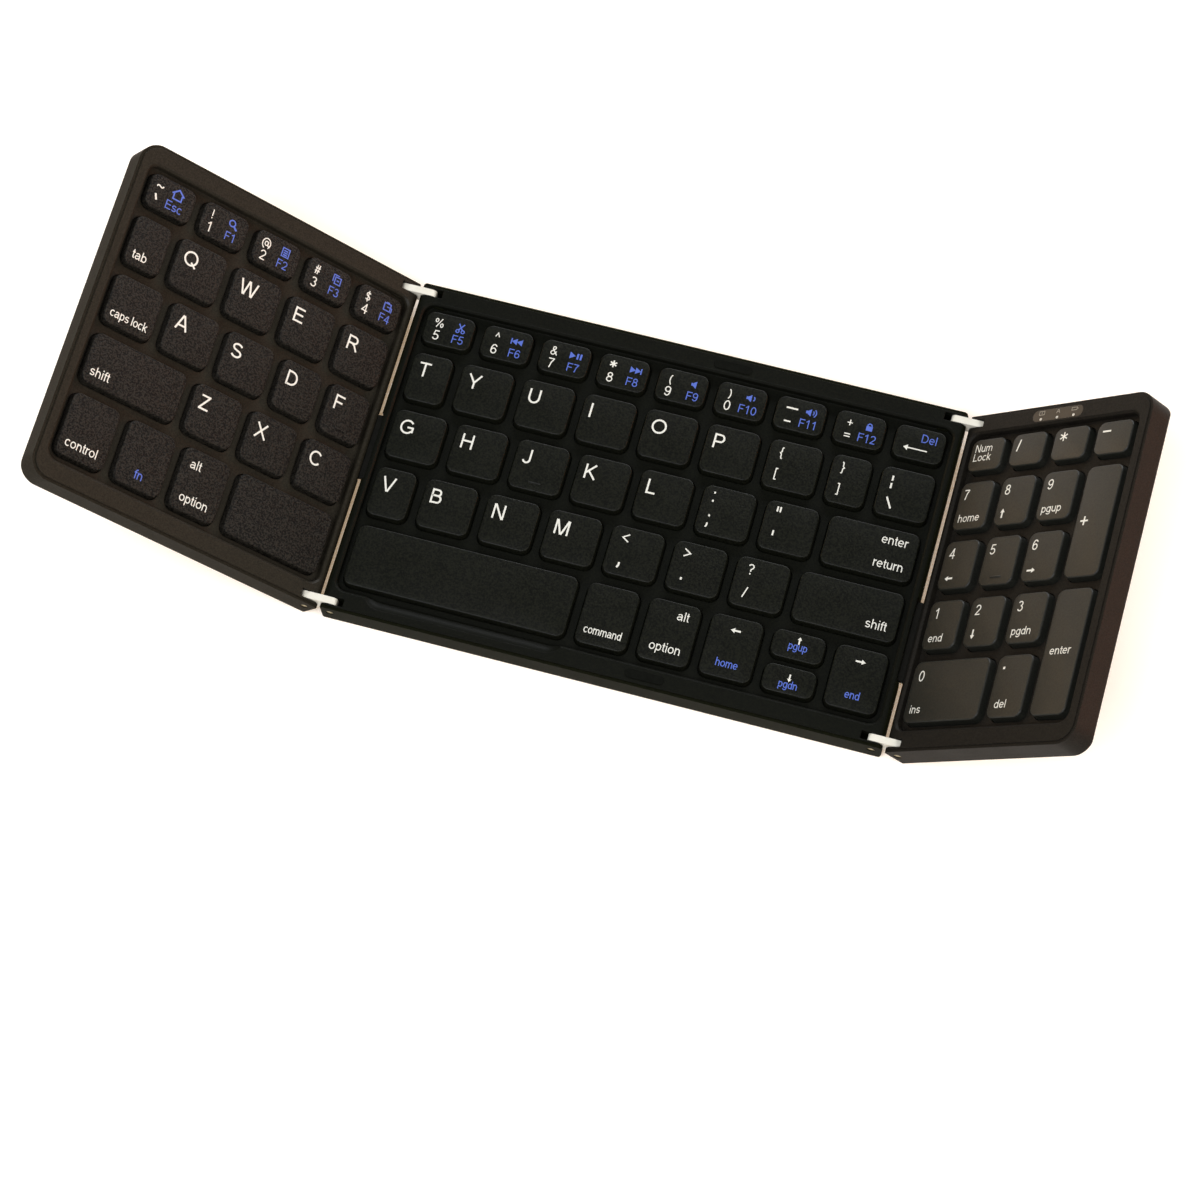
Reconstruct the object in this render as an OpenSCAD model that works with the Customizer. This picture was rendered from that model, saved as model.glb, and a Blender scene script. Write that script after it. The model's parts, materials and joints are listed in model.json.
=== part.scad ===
// Folding keyboard in three panels. A middle panel carries a left wing with the rest of the letter keys
// and a right wing with the number pad. Each wing hangs on two metal links, and each link turns on one
// pin in the middle panel and on one pin in the wing, so that the wings can lie flat or fold over the keys.
// X runs along the keyboard, Y from the front edge to the rear edge, and Z up from the feet.

/* [Pose] */
// Angle of the left wing above flat, in degrees
left_angle = 36.4; // [20:0.1:50]
// Angle of the right wing above flat, in degrees
right_angle = 44.8; // [20:0.1:50]

/* [Panels] */
// Thickness of a panel, without its feet
panel_h = 8.2; // [8:0.1:9]
// Gap between the edges of the two wings when they are folded
closing_gap = 0.3; // [0.2:0.1:0.6]
// Thickness of the base's upright walls
wall_t = 0.9; // [0.8:0.05:1]
// Thickness of the base's floor
floor_t = 1; // [0.8:0.1:1.1]
// Height by which the bezel stands above the base's rim
bezel_step = 0.3; // [0.2:0.05:0.4]
// Radius of a wing's two outer corners, seen from above
corner_r = 6; // [4:0.5:8]
// Radius of the panels' edges along the hinges, at the top
hinge_edge_r = 2.3; // [2:0.1:2.6]
// Radius of the panels' lower edges
bottom_edge_r = 1; // [0.6:0.1:1.2]
// Height of the rubber feet
foot_h = 0.8; // [0.7:0.1:1.5]

/* [Keys] */
// Distance from one letter key to the next
key_pitch = 18; // [17.8:0.05:18.1]
// Gap between the tops of neighbouring keys along X
key_gap = 3.05; // [2.9:0.05:3.3]
// Gap between the tops of two rows of keys
row_gap = 3.4; // [3.2:0.05:3.6]
// Depth of a letter key's top
letter_d = 14.7; // [14:0.1:14.8]
// Depth of a number-row key's top
number_d = 9.9; // [9:0.1:10]
// Depth of a bottom-row key's top
bottom_row_d = 18.1; // [17:0.1:18.3]
// Width of the space bar's top
space_w = 63.5; // [60:0.5:66]
// Width of the top of the left wing's space key
left_space_w = 30.4; // [28:0.1:32]
// Width of the top of the two narrow letter keys beside the left hinge
narrow_w = 11.4; // [11:0.1:12]
// Width of the top of the narrow bracket key
bracket_w = 11.15; // [10.5:0.05:12]
// Width of the top of the tab key
tab_w = 11; // [10.5:0.1:12]
// Gap between the tops of the up and down keys
arrow_gap = 2.2; // [2:0.1:2.6]
// Distance from the middle panel's hinge edges to its nearest keys
centre_border = 4.2; // [4.1:0.05:4.5]
// Distance from the left wing's hinge edge to its nearest keys
left_border = 4.1; // [4:0.1:4.4]
// Distance from the left wing's outer edge to its nearest keys
left_outer = 5.3; // [5:0.1:5.6]
// Distance from the number pad's hinge edge to its nearest keys
pad_border = 4.3; // [4:0.1:4.4]
// Distance from the number pad's outer edge to its nearest keys
pad_outer = 5.4; // [5:0.1:5.6]
// Distance from the panels' front edge to the keys
front_border = 8.45; // [8.3:0.05:8.6]
// Distance from the panels' rear edge to the keys
rear_border = 7.85; // [7.7:0.05:8]
// Corner radius of a key's top
key_r = 2.3; // [1.8:0.1:2.8]
// How much wider a key is at its foot than at its top, on each side
key_draft = 0.25; // [0.1:0.05:0.3]
// Depth of a key's top below the bezel
key_sink = 0.3; // [0.2:0.05:0.5]
// How far a key goes down
key_travel = 1.3; // [1:0.05:1.35]
// Width of the bevel round a key's top
key_bevel = 0.25; // [0.15:0.05:0.35]
// Thickness of a key's top and skirt
key_wall = 1; // [0.8:0.05:1.1]

/* [Well] */
// Depth of the well's floor below the bezel
well_depth = 2.6; // [2.4:0.1:2.8]
// Thickness of the well's floor
well_floor_t = 0.8; // [0.6:0.05:1]
// Distance from the keys to the well's side walls
well_side = 1.55; // [1.4:0.05:1.7]
// Distance from the front keys to the well's front wall
well_front = 2.25; // [2:0.05:2.4]
// Distance from the rear keys to the well's rear wall
well_rear = 1.95; // [1.8:0.05:2.1]
// Radius of the well's corners
well_r = 3.2; // [2.8:0.1:3.6]
// Width of the bevel along the well's rim
well_bevel = 0.6; // [0.4:0.05:0.8]
// Clearance round each key in the well's floor
key_clear = 0.2; // [0.15:0.05:0.25]

/* [Hinges] */
// Distance from a panel's hinge edge to its pin
pin_inset = 2.9; // [2.8:0.05:3]
// Depth of the pins below the bezel
pin_depth = 3.5; // [3.4:0.05:3.6]
// Gap between the folded panels
folded_gap = 0.4; // [0.3:0.05:0.6]
// Radius of a hinge pin
pin_r = 0.8; // [0.7:0.05:0.9]
// Radius of a hinge pin's head
pin_head_r = 1.1; // [1:0.05:1.2]
// Length of a hinge pin
pin_len = 6; // [5.8:0.1:6.1]
// Depth of the pins' heads below the panel's wall
pin_recess = 0.25; // [0.15:0.05:0.35]
// Thickness of a link
link_t = 2; // [1.8:0.1:2.1]
// Distance from the panel's front or rear face to the middle of a link
link_inset = 2.55; // [2.45:0.05:2.65]
// Length of a link past its pins
link_tail = 1.6; // [1.5:0.05:1.7]
// Height of a link under its pins
link_under = 1.7; // [1.6:0.1:1.9]
// Depth of a link's top below the bezel
link_sink = 0.1; // [0.05:0.05:0.2]
// Radius of a link's corners
link_r = 1.3; // [1.1:0.1:1.4]
// Clearance on each side of a link in its slot
slot_clear = 0.2; // [0.15:0.05:0.25]
// Radial clearance between a pin and a link
pin_clear = 0.05; // [0.03:0.01:0.08]

/* [Sleeves] */
// Length of the left hinge's cable sleeve
left_sleeve_len = 21; // [18:1:24]
// Place of the left sleeve's middle along Y
left_sleeve_y = -0.7; // [-2:0.1:2]
// Length of the right hinge's cable sleeve
right_sleeve_len = 25; // [20:1:27]
// Place of the right sleeve's middle along Y
right_sleeve_y = -18.4; // [-20:0.1:-16]
// Depth of the notch for a sleeve in a panel's edge
sleeve_notch = 0.9; // [0.7:0.05:1.1]
// Height of a sleeve
sleeve_h = 4; // [3:0.1:4.2]

/* [Scoop] */
// Length of the thumb scoop in front of the space bar
scoop_len = 57.6; // [50:0.1:60]
// Distance from the space bar's left end to the scoop's left end
scoop_start = 6.9; // [5:0.1:8]
// Half of the scoop's width at the bezel
scoop_half_w = 5; // [4:0.1:5.2]
// Depth of the scoop
scoop_depth = 2.4; // [2:0.1:2.5]
// Distance of the scoop's deepest line in front of the space bar
scoop_inset = 0.4; // [0:0.1:0.8]

/* [Fittings] */
// Length of the two bumpers on the middle panel
bumper_len = 11; // [10:0.5:12]
// Width of the bumpers
bumper_w = 2.5; // [2.2:0.1:2.8]
// Distance from the panel's front or rear edge to the middle of a bumper
bumper_inset = 3.3; // [3:0.1:3.5]
// Height of the bumpers above the bezel
bumper_rise = 0.15; // [0.05:0.05:0.2]
// Length of the indicator window
window_len = 17.8; // [16:0.1:19]
// Width of the indicator window
window_w = 3.5; // [3:0.1:3.6]
// Distance from the panel's rear edge to the middle of the window
window_inset = 3.1; // [3:0.1:3.2]
// Distance from the number pad's keys' left side to the window's middle
window_x = 29.5; // [27:0.1:31]
// Width of the charging socket
port_w = 9; // [8.9:0.1:9.2]
// Height of the charging socket
port_h = 3.2; // [3.1:0.05:3.3]
// Depth of the charging socket
port_d = 7; // [6.5:0.1:7.5]
// Place of the charging socket along X, from the middle
port_x = -45; // [-60:1:-30]
// Height of the charging socket above the base's floor
port_lift = 0.2; // [0.1:0.05:0.4]
// Length of a rubber foot
foot_len = 14; // [10:1:18]
// Width of a rubber foot
foot_w = 4; // [3:0.5:5]
// Distance from a panel's edges to its feet
foot_inset = 9; // [8:0.5:12]
// Radius of a case screw's shank
screw_r = 0.7; // [0.6:0.05:0.8]
// Radius of a case screw's head
screw_head_r = 1.3; // [1.2:0.05:1.4]
// Distance from the panel's front or rear edge to the case screws
screw_inset = 3.3; // [3.2:0.1:3.4]
// Width of the battery
battery_w = 60; // [50:1:70]
// Depth of the battery
battery_d = 44; // [36:1:50]
// Place of the battery along X, from the middle
battery_x = 25; // [15:1:35]
// Place of the battery along Y, from the middle
battery_y = -10; // [-15:1:0]
// Clearance between the battery and the key plate
battery_clear = 0.3; // [0.2:0.05:0.4]
// Width of the control board
board_w = 28; // [24:1:36]
// Depth of the control board
board_d = 20; // [16:1:24]
// Thickness of the control board
board_t = 1; // [0.8:0.1:1.2]
// Clearance between the control board and the charging socket
board_clear = 0.2; // [0.1:0.05:0.4]
// Thickness of the key plate
plate_t = 0.5; // [0.4:0.05:0.6]
// Thickness of the dome sheet
sheet_t = 0.2; // [0.15:0.05:0.3]
// Radius of a dome's foot
dome_r = 2.6; // [2:0.1:2.8]

/* [Hidden] */
$fn = 48;
// Overshoot of a cut past the face that it opens
cut = 1;

// Hinge: the pins of one link are this far apart, so that the folded panels keep folded_gap
link_len = 2 * pin_depth + folded_gap;
flat_gap = link_len - 2 * pin_inset;
pin_z = panel_h - pin_depth;
link_top = pin_depth - link_sink;
slot_w = link_t + 2 * slot_clear;
slot_x = link_top + slot_clear;
slot_z = link_under + slot_clear;
block_x = pin_inset + slot_x + 1.2;
block_y = wall_t + link_inset + slot_w / 2 + 1.5;
block_top = pin_z + pin_r + 0.7;

// The keys' fields follow from the second row of keys, and the panels follow from the fields. The two
// folded wings just cover the middle panel and meet under the bumpers, which leaves the number pad's keys
// their width.
letter_w = key_pitch - key_gap;
centre_field_w = narrow_w + 7 * letter_w + bracket_w + 8 * key_gap;
left_field_w = tab_w + 4 * (letter_w + key_gap);
centre_w = centre_field_w + 2 * centre_border;
left_w = left_border + left_field_w + left_outer;
right_w = centre_w - closing_gap - left_w;
pad_field_w = right_w - pad_border - pad_outer;
panel_d = front_border + bottom_row_d + 3 * (row_gap + letter_d) + row_gap + number_d + rear_border;
bumper_x = left_w + closing_gap / 2 - centre_w / 2;

// Heights inside a panel, measured from its underside
rim_z = panel_h - bezel_step;
well_z = panel_h - well_depth;
bezel_z = well_z - well_floor_t;
key_top = panel_h - key_sink;
key_foot = bezel_z + 0.2;
sheet_top = key_foot - key_travel - 0.2;
plate_z = sheet_top - sheet_t - plate_t;
under_key = key_top - key_wall;
dome_top = under_key - key_travel - 0.3;
battery_t = plate_z - floor_t - battery_clear;
port_z = floor_t + port_lift + port_h / 2;

// Rows of keys, from the front: the middle and the depth of each
row_5_y = -panel_d / 2 + front_border + bottom_row_d / 2;
row_4_y = row_5_y + bottom_row_d / 2 + row_gap + letter_d / 2;
row_3_y = row_4_y + letter_d + row_gap;
row_2_y = row_3_y + letter_d + row_gap;
row_1_y = row_2_y + letter_d / 2 + row_gap + number_d / 2;
field_front = row_5_y - bottom_row_d / 2;
field_rear = row_1_y + number_d / 2;
half_key_d = (bottom_row_d - arrow_gap) / 2;

// Widths of the keys that share what is left of a row
centre_number_w = (centre_field_w + key_gap) / 9 - key_gap;
left_number_w = (left_field_w + key_gap) / 5 - key_gap;
pad_w = (pad_field_w + key_gap) / 4 - key_gap;
centre_mod_w = (centre_field_w - space_w) / 5 - key_gap;
left_mod_w = (left_field_w - left_space_w) / 3 - key_gap;
short_home_w = (left_field_w - 3 * letter_w - 4 * key_gap) / 2;

// A key is [middle x, middle y, width, depth]. keys_in_row() lays keys of these widths out from x
function sum_to(list, n) = n <= 0 ? 0 : list[n - 1] + sum_to(list, n - 1);
function keys_in_row(x, y, d, widths) = [
    for (i = [0:len(widths) - 1])
        [x + sum_to(widths, i) + i * key_gap + widths[i] / 2, y, widths[i], d]
];
function same(width, count) = [for (i = [1:count]) width];
function slice(list, first, last) = [for (i = [first:last]) list[i]];

centre_x = -centre_field_w / 2;
centre_row_1 = keys_in_row(centre_x, row_1_y, number_d, same(centre_number_w, 9));
centre_row_2 = keys_in_row(centre_x, row_2_y, letter_d,
    concat([narrow_w], same(letter_w, 6), [bracket_w, letter_w]));
return_w = centre_field_w - 7 * (letter_w + key_gap);
centre_row_3 = keys_in_row(centre_x, row_3_y, letter_d, concat(same(letter_w, 7), [return_w]));
right_shift_w = centre_field_w - narrow_w - 6 * letter_w - 7 * key_gap;
centre_row_4 = keys_in_row(centre_x, row_4_y, letter_d,
    concat([narrow_w], same(letter_w, 6), [right_shift_w]));
centre_row_5 = keys_in_row(centre_x, row_5_y, bottom_row_d, concat([space_w], same(centre_mod_w, 5)));
arrow_shift = (bottom_row_d - half_key_d) / 2;
up_key = [centre_row_5[4].x, row_5_y + arrow_shift, centre_mod_w, half_key_d];
down_key = [centre_row_5[4].x, row_5_y - arrow_shift, centre_mod_w, half_key_d];
centre_keys = concat(centre_row_1, centre_row_2, centre_row_3, centre_row_4,
    slice(centre_row_5, 0, 3), [up_key, down_key, centre_row_5[5]]);

// The left wing's frame has x = 0 at its hinge edge, and its keys lie at negative x
left_x = -left_border - left_field_w;
left_row_1 = keys_in_row(left_x, row_1_y, number_d, same(left_number_w, 5));
left_row_2 = keys_in_row(left_x, row_2_y, letter_d, concat([tab_w], same(letter_w, 4)));
left_row_3 = keys_in_row(left_x, row_3_y, letter_d, concat(same(letter_w, 3), same(short_home_w, 2)));
left_shift_w = left_field_w - 3 * (letter_w + key_gap);
left_row_4 = keys_in_row(left_x, row_4_y, letter_d, concat([left_shift_w], same(letter_w, 3)));
left_row_5 = keys_in_row(left_x, row_5_y, bottom_row_d, concat(same(left_mod_w, 3), [left_space_w]));
left_keys = concat(left_row_1, left_row_2, left_row_3, left_row_4, left_row_5);

// The right wing's frame has x = 0 at its hinge edge, and its keys lie at positive x
pad_row_1 = keys_in_row(pad_border, row_1_y, number_d, same(pad_w, 4));
pad_row_2 = keys_in_row(pad_border, row_2_y, letter_d, same(pad_w, 3));
pad_row_3 = keys_in_row(pad_border, row_3_y, letter_d, same(pad_w, 3));
pad_row_4 = keys_in_row(pad_border, row_4_y, letter_d, same(pad_w, 3));
zero_w = 2 * pad_w + key_gap;
pad_row_5 = keys_in_row(pad_border, row_5_y, bottom_row_d, [zero_w, pad_w]);
pad_last_x = pad_border + pad_field_w - pad_w / 2;
plus_d = 2 * letter_d + row_gap;
plus_key = [pad_last_x, (row_2_y + row_3_y) / 2, pad_w, plus_d];
enter_d = letter_d + row_gap + bottom_row_d;
enter_key = [pad_last_x, field_front + enter_d / 2, pad_w, enter_d];
pad_keys = concat(pad_row_1, pad_row_2, pad_row_3, pad_row_4, pad_row_5, [plus_key, enter_key]);

// Each panel's low and high x in its own frame, and the low and high x of its keys
centre_span = [-centre_w / 2, centre_w / 2];
left_span = [-left_w, 0];
right_span = [0, right_w];
centre_field = [centre_x, -centre_x];
left_field = [left_x, -left_border];
right_field = [pad_border, pad_border + pad_field_w];

// Places of the small parts, in their panel's frame
screw_y = panel_d / 2 - screw_inset;
centre_screw_x = [-62, 0, 62];
left_screw_x = [-left_w + 16, -left_w / 2, -16];
right_screw_x = [16, right_w - 12];
screw_top = well_z - 0.4;
foot_y = panel_d / 2 - foot_inset;
centre_feet_x = [-centre_w / 2 + 16, centre_w / 2 - 16];
left_feet_x = [-left_w + 16, -16];
right_feet_x = [16, right_w - 16];

// The pose: the wings' outermost points, and the shift that puts the origin under the middle
outer_arc = pin_z - bottom_edge_r;
left_reach = centre_w / 2 + flat_gap + pin_inset
    + (left_w - bottom_edge_r - pin_inset) * cos(left_angle) + outer_arc * sin(left_angle);
right_reach = centre_w / 2 + flat_gap + pin_inset
    + (right_w - bottom_edge_r - pin_inset) * cos(right_angle) + outer_arc * sin(right_angle);
middle_x = (left_reach - right_reach) / 2;

module on_centre() {
    translate([middle_x, 0, foot_h]) children();
}

// The wings turn about the outer pins, which stay level with the pins of the middle panel
module on_left() {
    on_centre()
        translate([-centre_w / 2 - flat_gap - pin_inset, 0, pin_z])
        rotate([0, left_angle, 0])
        translate([pin_inset, 0, -pin_z])
        children();
}

module on_right() {
    on_centre()
        translate([centre_w / 2 + flat_gap + pin_inset, 0, pin_z])
        rotate([0, -right_angle, 0])
        translate([-pin_inset, 0, -pin_z])
        children();
}

// Flat outline of w by d with round corners, middle at the origin
module rounded_outline(w, d, r) {
    square([w - 2 * r, d], center = true);
    square([w, d - 2 * r], center = true);
    for (x = [-1, 1], y = [-1, 1])
        translate([x * (w / 2 - r), y * (d / 2 - r)]) circle(r);
}

// Block with round corners, w by d at its foot, that grows by draft on each side up to its top
module drafted_block(w, d, h, r, draft) {
    for (x = [-1, 1], y = [-1, 1])
        translate([x * (w / 2 - r), y * (d / 2 - r), 0]) cylinder(h = h, r1 = r, r2 = r + draft);
    translate([-w / 2 + r, 0, 0]) rotate([90, 0, 90]) linear_extrude(w - 2 * r)
        polygon([[-d / 2, 0], [d / 2, 0], [d / 2 + draft, h], [-d / 2 - draft, h]]);
    translate([0, d / 2 - r, 0]) rotate([90, 0, 0]) linear_extrude(d - 2 * r)
        polygon([[-w / 2, 0], [w / 2, 0], [w / 2 + draft, h], [-w / 2 - draft, h]]);
}

// Cylinder along Y from y0 to y1, about a line in a panel
module along_y(x, z, y0, y1, r) {
    translate([x, y1, z]) rotate([90, 0, 0]) cylinder(h = y1 - y0, r = r);
}

// Side view of a panel: the lower edges are round, and so is the upper edge at each hinge
module panel_section(span, hinge_sides) {
    lift = bottom_edge_r;
    top_r = [for (side = [0, 1]) hinge_sides[side] ? hinge_edge_r : bezel_step];
    translate([span[0], lift]) square([span[1] - span[0], panel_h - lift - hinge_edge_r]);
    translate([span[0] + lift, 0]) square([span[1] - span[0] - 2 * lift, panel_h / 2]);
    translate([span[0] + top_r[0], panel_h / 2])
        square([span[1] - span[0] - top_r[0] - top_r[1], panel_h / 2]);
    for (side = [0, 1]) {
        inward = side == 0 ? 1 : -1;
        translate([span[side] + inward * lift, lift]) circle(lift);
        translate([span[side] + inward * top_r[side], panel_h - top_r[side]]) circle(top_r[side]);
        if (!hinge_sides[side])
            translate([min(span[side], span[side] + inward * bezel_step), panel_h / 2])
                square([bezel_step, panel_h / 2 - bezel_step]);
    }
}

// Plan of a panel, set in from its edge: the wings' outer corners are round
module panel_plan(span, inset, round_side) {
    w = span[1] - span[0] - 2 * inset;
    d = panel_d - 2 * inset;
    r = corner_r - inset;
    small = 0.8;
    translate([(span[0] + span[1]) / 2, 0]) {
        if (round_side == 0)
            rounded_outline(w, d, small);
        else {
            rounded_outline(w, d, r);
            translate([-round_side * w / 4, 0]) rounded_outline(w / 2, d, small);
        }
    }
}

module panel_envelope(span, hinge_sides, round_side) {
    intersection() {
        translate([0, panel_d / 2, 0]) rotate([90, 0, 0]) linear_extrude(panel_d)
            panel_section(span, hinge_sides);
        translate([0, 0, -cut]) linear_extrude(panel_h + 2 * cut) panel_plan(span, 0, round_side);
    }
}

// For a panel: place children at the front and at the rear of each hinge edge, as if at the
// front left corner, with x = 0 at the edge and y = 0 at the front face
module at_hinge_corners(span, hinge_sides) {
    for (side = [0, 1], end = [0, 1])
        if (hinge_sides[side])
            translate([span[side], (end == 0 ? -1 : 1) * panel_d / 2, 0])
                mirror([side, 0, 0]) mirror([0, end, 0]) children();
}

// The room in which a link lies and swings, from below its pin up through the bezel
module link_slot() {
    translate([-cut, link_inset - slot_w / 2, pin_z - slot_z])
        cube([cut + pin_inset + slot_x, slot_w, slot_z + pin_depth + cut]);
}

module sleeve_notches(span, hinge_sides) {
    for (side = [0, 1])
        if (hinge_sides[side]) {
            on_left_hinge = (span[0] == centre_span[0]) ? side == 0 : span[0] < 0;
            len = on_left_hinge ? left_sleeve_len : right_sleeve_len;
            mid = on_left_hinge ? left_sleeve_y : right_sleeve_y;
            translate([span[side], mid, panel_h / 2])
                cube([2 * sleeve_notch, len, panel_h + cut], center = true);
        }
}

// Bored boss that holds a hinge pin on both sides of the link's slot
module hinge_block() {
    difference() {
        translate([0, 0, floor_t / 2]) cube([block_x, block_y, block_top - floor_t / 2]);
        link_slot();
        along_y(pin_inset, pin_z, -cut, block_y + cut, pin_r);
    }
}

// Tray-like lower half of a panel, with the rim, the hinge blocks and the screw bosses
module base(span, hinge_sides, round_side, screw_x) {
    difference() {
        union() {
            difference() {
                panel_envelope(span, hinge_sides, round_side);
                translate([0, 0, floor_t]) linear_extrude(panel_h) panel_plan(span, wall_t, round_side);
                translate([span[0] - cut, -panel_d / 2 - cut, rim_z])
                    cube([span[1] - span[0] + 2 * cut, panel_d + 2 * cut, panel_h]);
            }
            intersection() {
                at_hinge_corners(span, hinge_sides) hinge_block();
                panel_envelope(span, hinge_sides, round_side);
            }
            for (x = screw_x, y = [-screw_y, screw_y])
                translate([x, y, floor_t / 2]) cylinder(h = plate_z - floor_t / 2, r = screw_head_r + 0.5);
        }
        at_hinge_corners(span, hinge_sides) {
            link_slot();
            along_y(pin_inset, pin_z, -cut, block_y + cut, pin_r);
            along_y(pin_inset, pin_z, -cut, pin_recess + 0.6, pin_head_r);
        }
        sleeve_notches(span, hinge_sides);
        for (x = screw_x, y = [-screw_y, screw_y])
            translate([x, y, -cut]) {
                cylinder(h = cut + panel_h, r = screw_r);
                cylinder(h = cut + 0.9, r = screw_head_r);
            }
    }
}

// The room for the keys, down to the well's floor, with a bevelled rim
module well(field) {
    w = field[1] - field[0] + 2 * well_side;
    d = field_rear - field_front + well_front + well_rear;
    mid_y = (field_rear + well_rear + field_front - well_front) / 2;
    translate([(field[0] + field[1]) / 2, mid_y, 0]) {
        translate([0, 0, well_z]) linear_extrude(well_depth + cut) rounded_outline(w, d, well_r);
        translate([0, 0, panel_h - well_bevel]) drafted_block(w, d, well_bevel + 0.01, well_r, well_bevel);
    }
}

// Top half of a panel: a frame round the keys, with a floor that has one hole for each key
module bezel(span, hinge_sides, round_side, field, keys, screw_x) {
    difference() {
        intersection() {
            panel_envelope(span, hinge_sides, round_side);
            union() {
                translate([0, 0, bezel_z]) linear_extrude(panel_h) panel_plan(span, wall_t, round_side);
                for (x = screw_x, y = [-screw_y, screw_y])
                    translate([x, y, sheet_top]) cylinder(h = panel_h - sheet_top - 1, r = screw_head_r);
            }
        }
        well(field);
        for (key = keys)
            translate([key.x, key.y, bezel_z - cut]) linear_extrude(well_floor_t + 2 * cut)
                rounded_outline(key[2] + 2 * key_draft + 2 * key_clear, key[3] + 2 * key_draft + 2 * key_clear,
                    key_r + key_draft + key_clear);
        at_hinge_corners(span, hinge_sides) {
            link_slot();
            translate([-cut, -cut, 0]) cube([cut + block_x, cut + block_y, block_top]);
        }
        sleeve_notches(span, hinge_sides);
        for (x = screw_x, y = [-screw_y, screw_y])
            translate([x, y, 0]) cylinder(h = screw_top, r = screw_r);
    }
}

// Steel plate under the keys, and the scissor frames that are clipped to it, one for each key
module key_plate(span, hinge_sides, round_side, keys, screw_x) {
    difference() {
        translate([0, 0, plate_z]) linear_extrude(plate_t) panel_plan(span, wall_t + 0.1, round_side);
        at_hinge_corners(span, hinge_sides)
            translate([-cut, -cut, 0]) cube([cut + block_x + 0.1, cut + block_y + 0.1, panel_h]);
        for (x = screw_x, y = [-screw_y, screw_y])
            translate([x, y, 0]) cylinder(h = panel_h, r = screw_r + 0.1);
    }
    for (key = keys)
        translate([key.x, key.y, sheet_top]) scissor_frame();
}

module scissor_frame() {
    difference() {
        translate([0, 0, (dome_top - sheet_top) / 2])
            cube([2 * dome_r + 3, 2 * dome_r, dome_top - sheet_top], center = true);
        cylinder(h = panel_h, r = dome_r - 0.8, center = true);
        cube([2 * dome_r + 1, 2 * dome_r - 1.2, panel_h], center = true);
    }
}

// Silicone sheet that covers the plate, with a dome under each key
module dome_sheet(span, hinge_sides, round_side, keys, screw_x) {
    sheet_z = sheet_top - sheet_t;
    difference() {
        translate([0, 0, sheet_z]) linear_extrude(sheet_t) panel_plan(span, wall_t + 0.1, round_side);
        at_hinge_corners(span, hinge_sides)
            translate([-cut, -cut, 0]) cube([cut + block_x + 0.1, cut + block_y + 0.1, panel_h]);
        for (x = screw_x, y = [-screw_y, screw_y])
            translate([x, y, 0]) cylinder(h = panel_h, r = screw_r + 0.1);
    }
    for (key = keys)
        translate([key.x, key.y, sheet_z]) cylinder(h = dome_top - sheet_z, r1 = dome_r - 1, r2 = 1);
}

module screws(screw_x) {
    for (x = screw_x, y = [-screw_y, screw_y])
        translate([x, y, 0]) difference() {
            union() {
                translate([0, 0, 0.1]) cylinder(h = 0.8, r = screw_head_r);
                translate([0, 0, 0.5]) cylinder(h = screw_top - 0.5, r = screw_r);
            }
            for (turn = [0, 90])
                rotate([0, 0, turn]) cube([screw_head_r * 1.3, 0.35, 0.9], center = true);
        }
}

// Oblong rubber feet, stuck under the panel
module feet(feet_x) {
    for (x = feet_x, y = [-foot_y, foot_y])
        translate([x, y, -foot_h]) linear_extrude(foot_h) rounded_outline(foot_len, foot_w, foot_w / 2 - 0.01);
}

// One pin for each link, with a flat head that shows in the panel's wall
module hinge_pins(span, hinge_sides) {
    at_hinge_corners(span, hinge_sides) {
        along_y(pin_inset, pin_z, pin_recess, pin_len, pin_r);
        along_y(pin_inset, pin_z, pin_recess, pin_recess + 0.6, pin_head_r);
    }
}

// Hollow cap of one key: straight draft on its sides and a bevel round its top
module key_cap(key) {
    w = key[2];
    d = key[3];
    top = key_top - key_foot;
    side = top - key_bevel;
    translate([key.x, key.y, key_foot]) difference() {
        union() {
            translate([-w / 2 + key_r, 0, 0]) rotate([90, 0, 90]) linear_extrude(w - 2 * key_r)
                cap_section(d / 2, side, top);
            translate([0, d / 2 - key_r, 0]) rotate([90, 0, 0]) linear_extrude(d - 2 * key_r)
                cap_section(w / 2, side, top);
            for (x = [-1, 1], y = [-1, 1])
                translate([x * (w / 2 - key_r), y * (d / 2 - key_r), 0])
                    rotate_extrude() polygon([[0, 0], [key_r + key_draft, 0], [key_r, side],
                        [key_r - key_bevel, top], [0, top]]);
        }
        translate([0, 0, (under_key - key_foot - cut) / 2])
            cube([w - 2 * key_wall, d - 2 * key_wall, under_key - key_foot + cut], center = true);
    }
}

// Section of a cap whose top has this half width: up to the bevel at side, and on to the top
module cap_section(half, side, top) {
    polygon([[-half - key_draft, 0], [half + key_draft, 0], [half, side],
        [half - key_bevel, top], [-half + key_bevel, top], [-half, side]]);
}

module key_caps(keys) {
    for (key = keys) key_cap(key);
}

// Link of a hinge: a plate with a hole for each pin, drawn from the panel's edge outwards
module link_plate() {
    low = -link_under;
    length = link_len + 2 * link_tail;
    difference() {
        translate([-link_tail - flat_gap - pin_inset, link_inset + link_t / 2, 0]) rotate([90, 0, 0])
            linear_extrude(link_t) translate([length / 2, pin_z + (link_top + low) / 2])
            rounded_outline(length, link_top - low, link_r);
        along_y(pin_inset, pin_z, 0, panel_d / 4, pin_r + pin_clear);
        along_y(-flat_gap - pin_inset, pin_z, 0, panel_d / 4, pin_r + pin_clear);
    }
}

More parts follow.
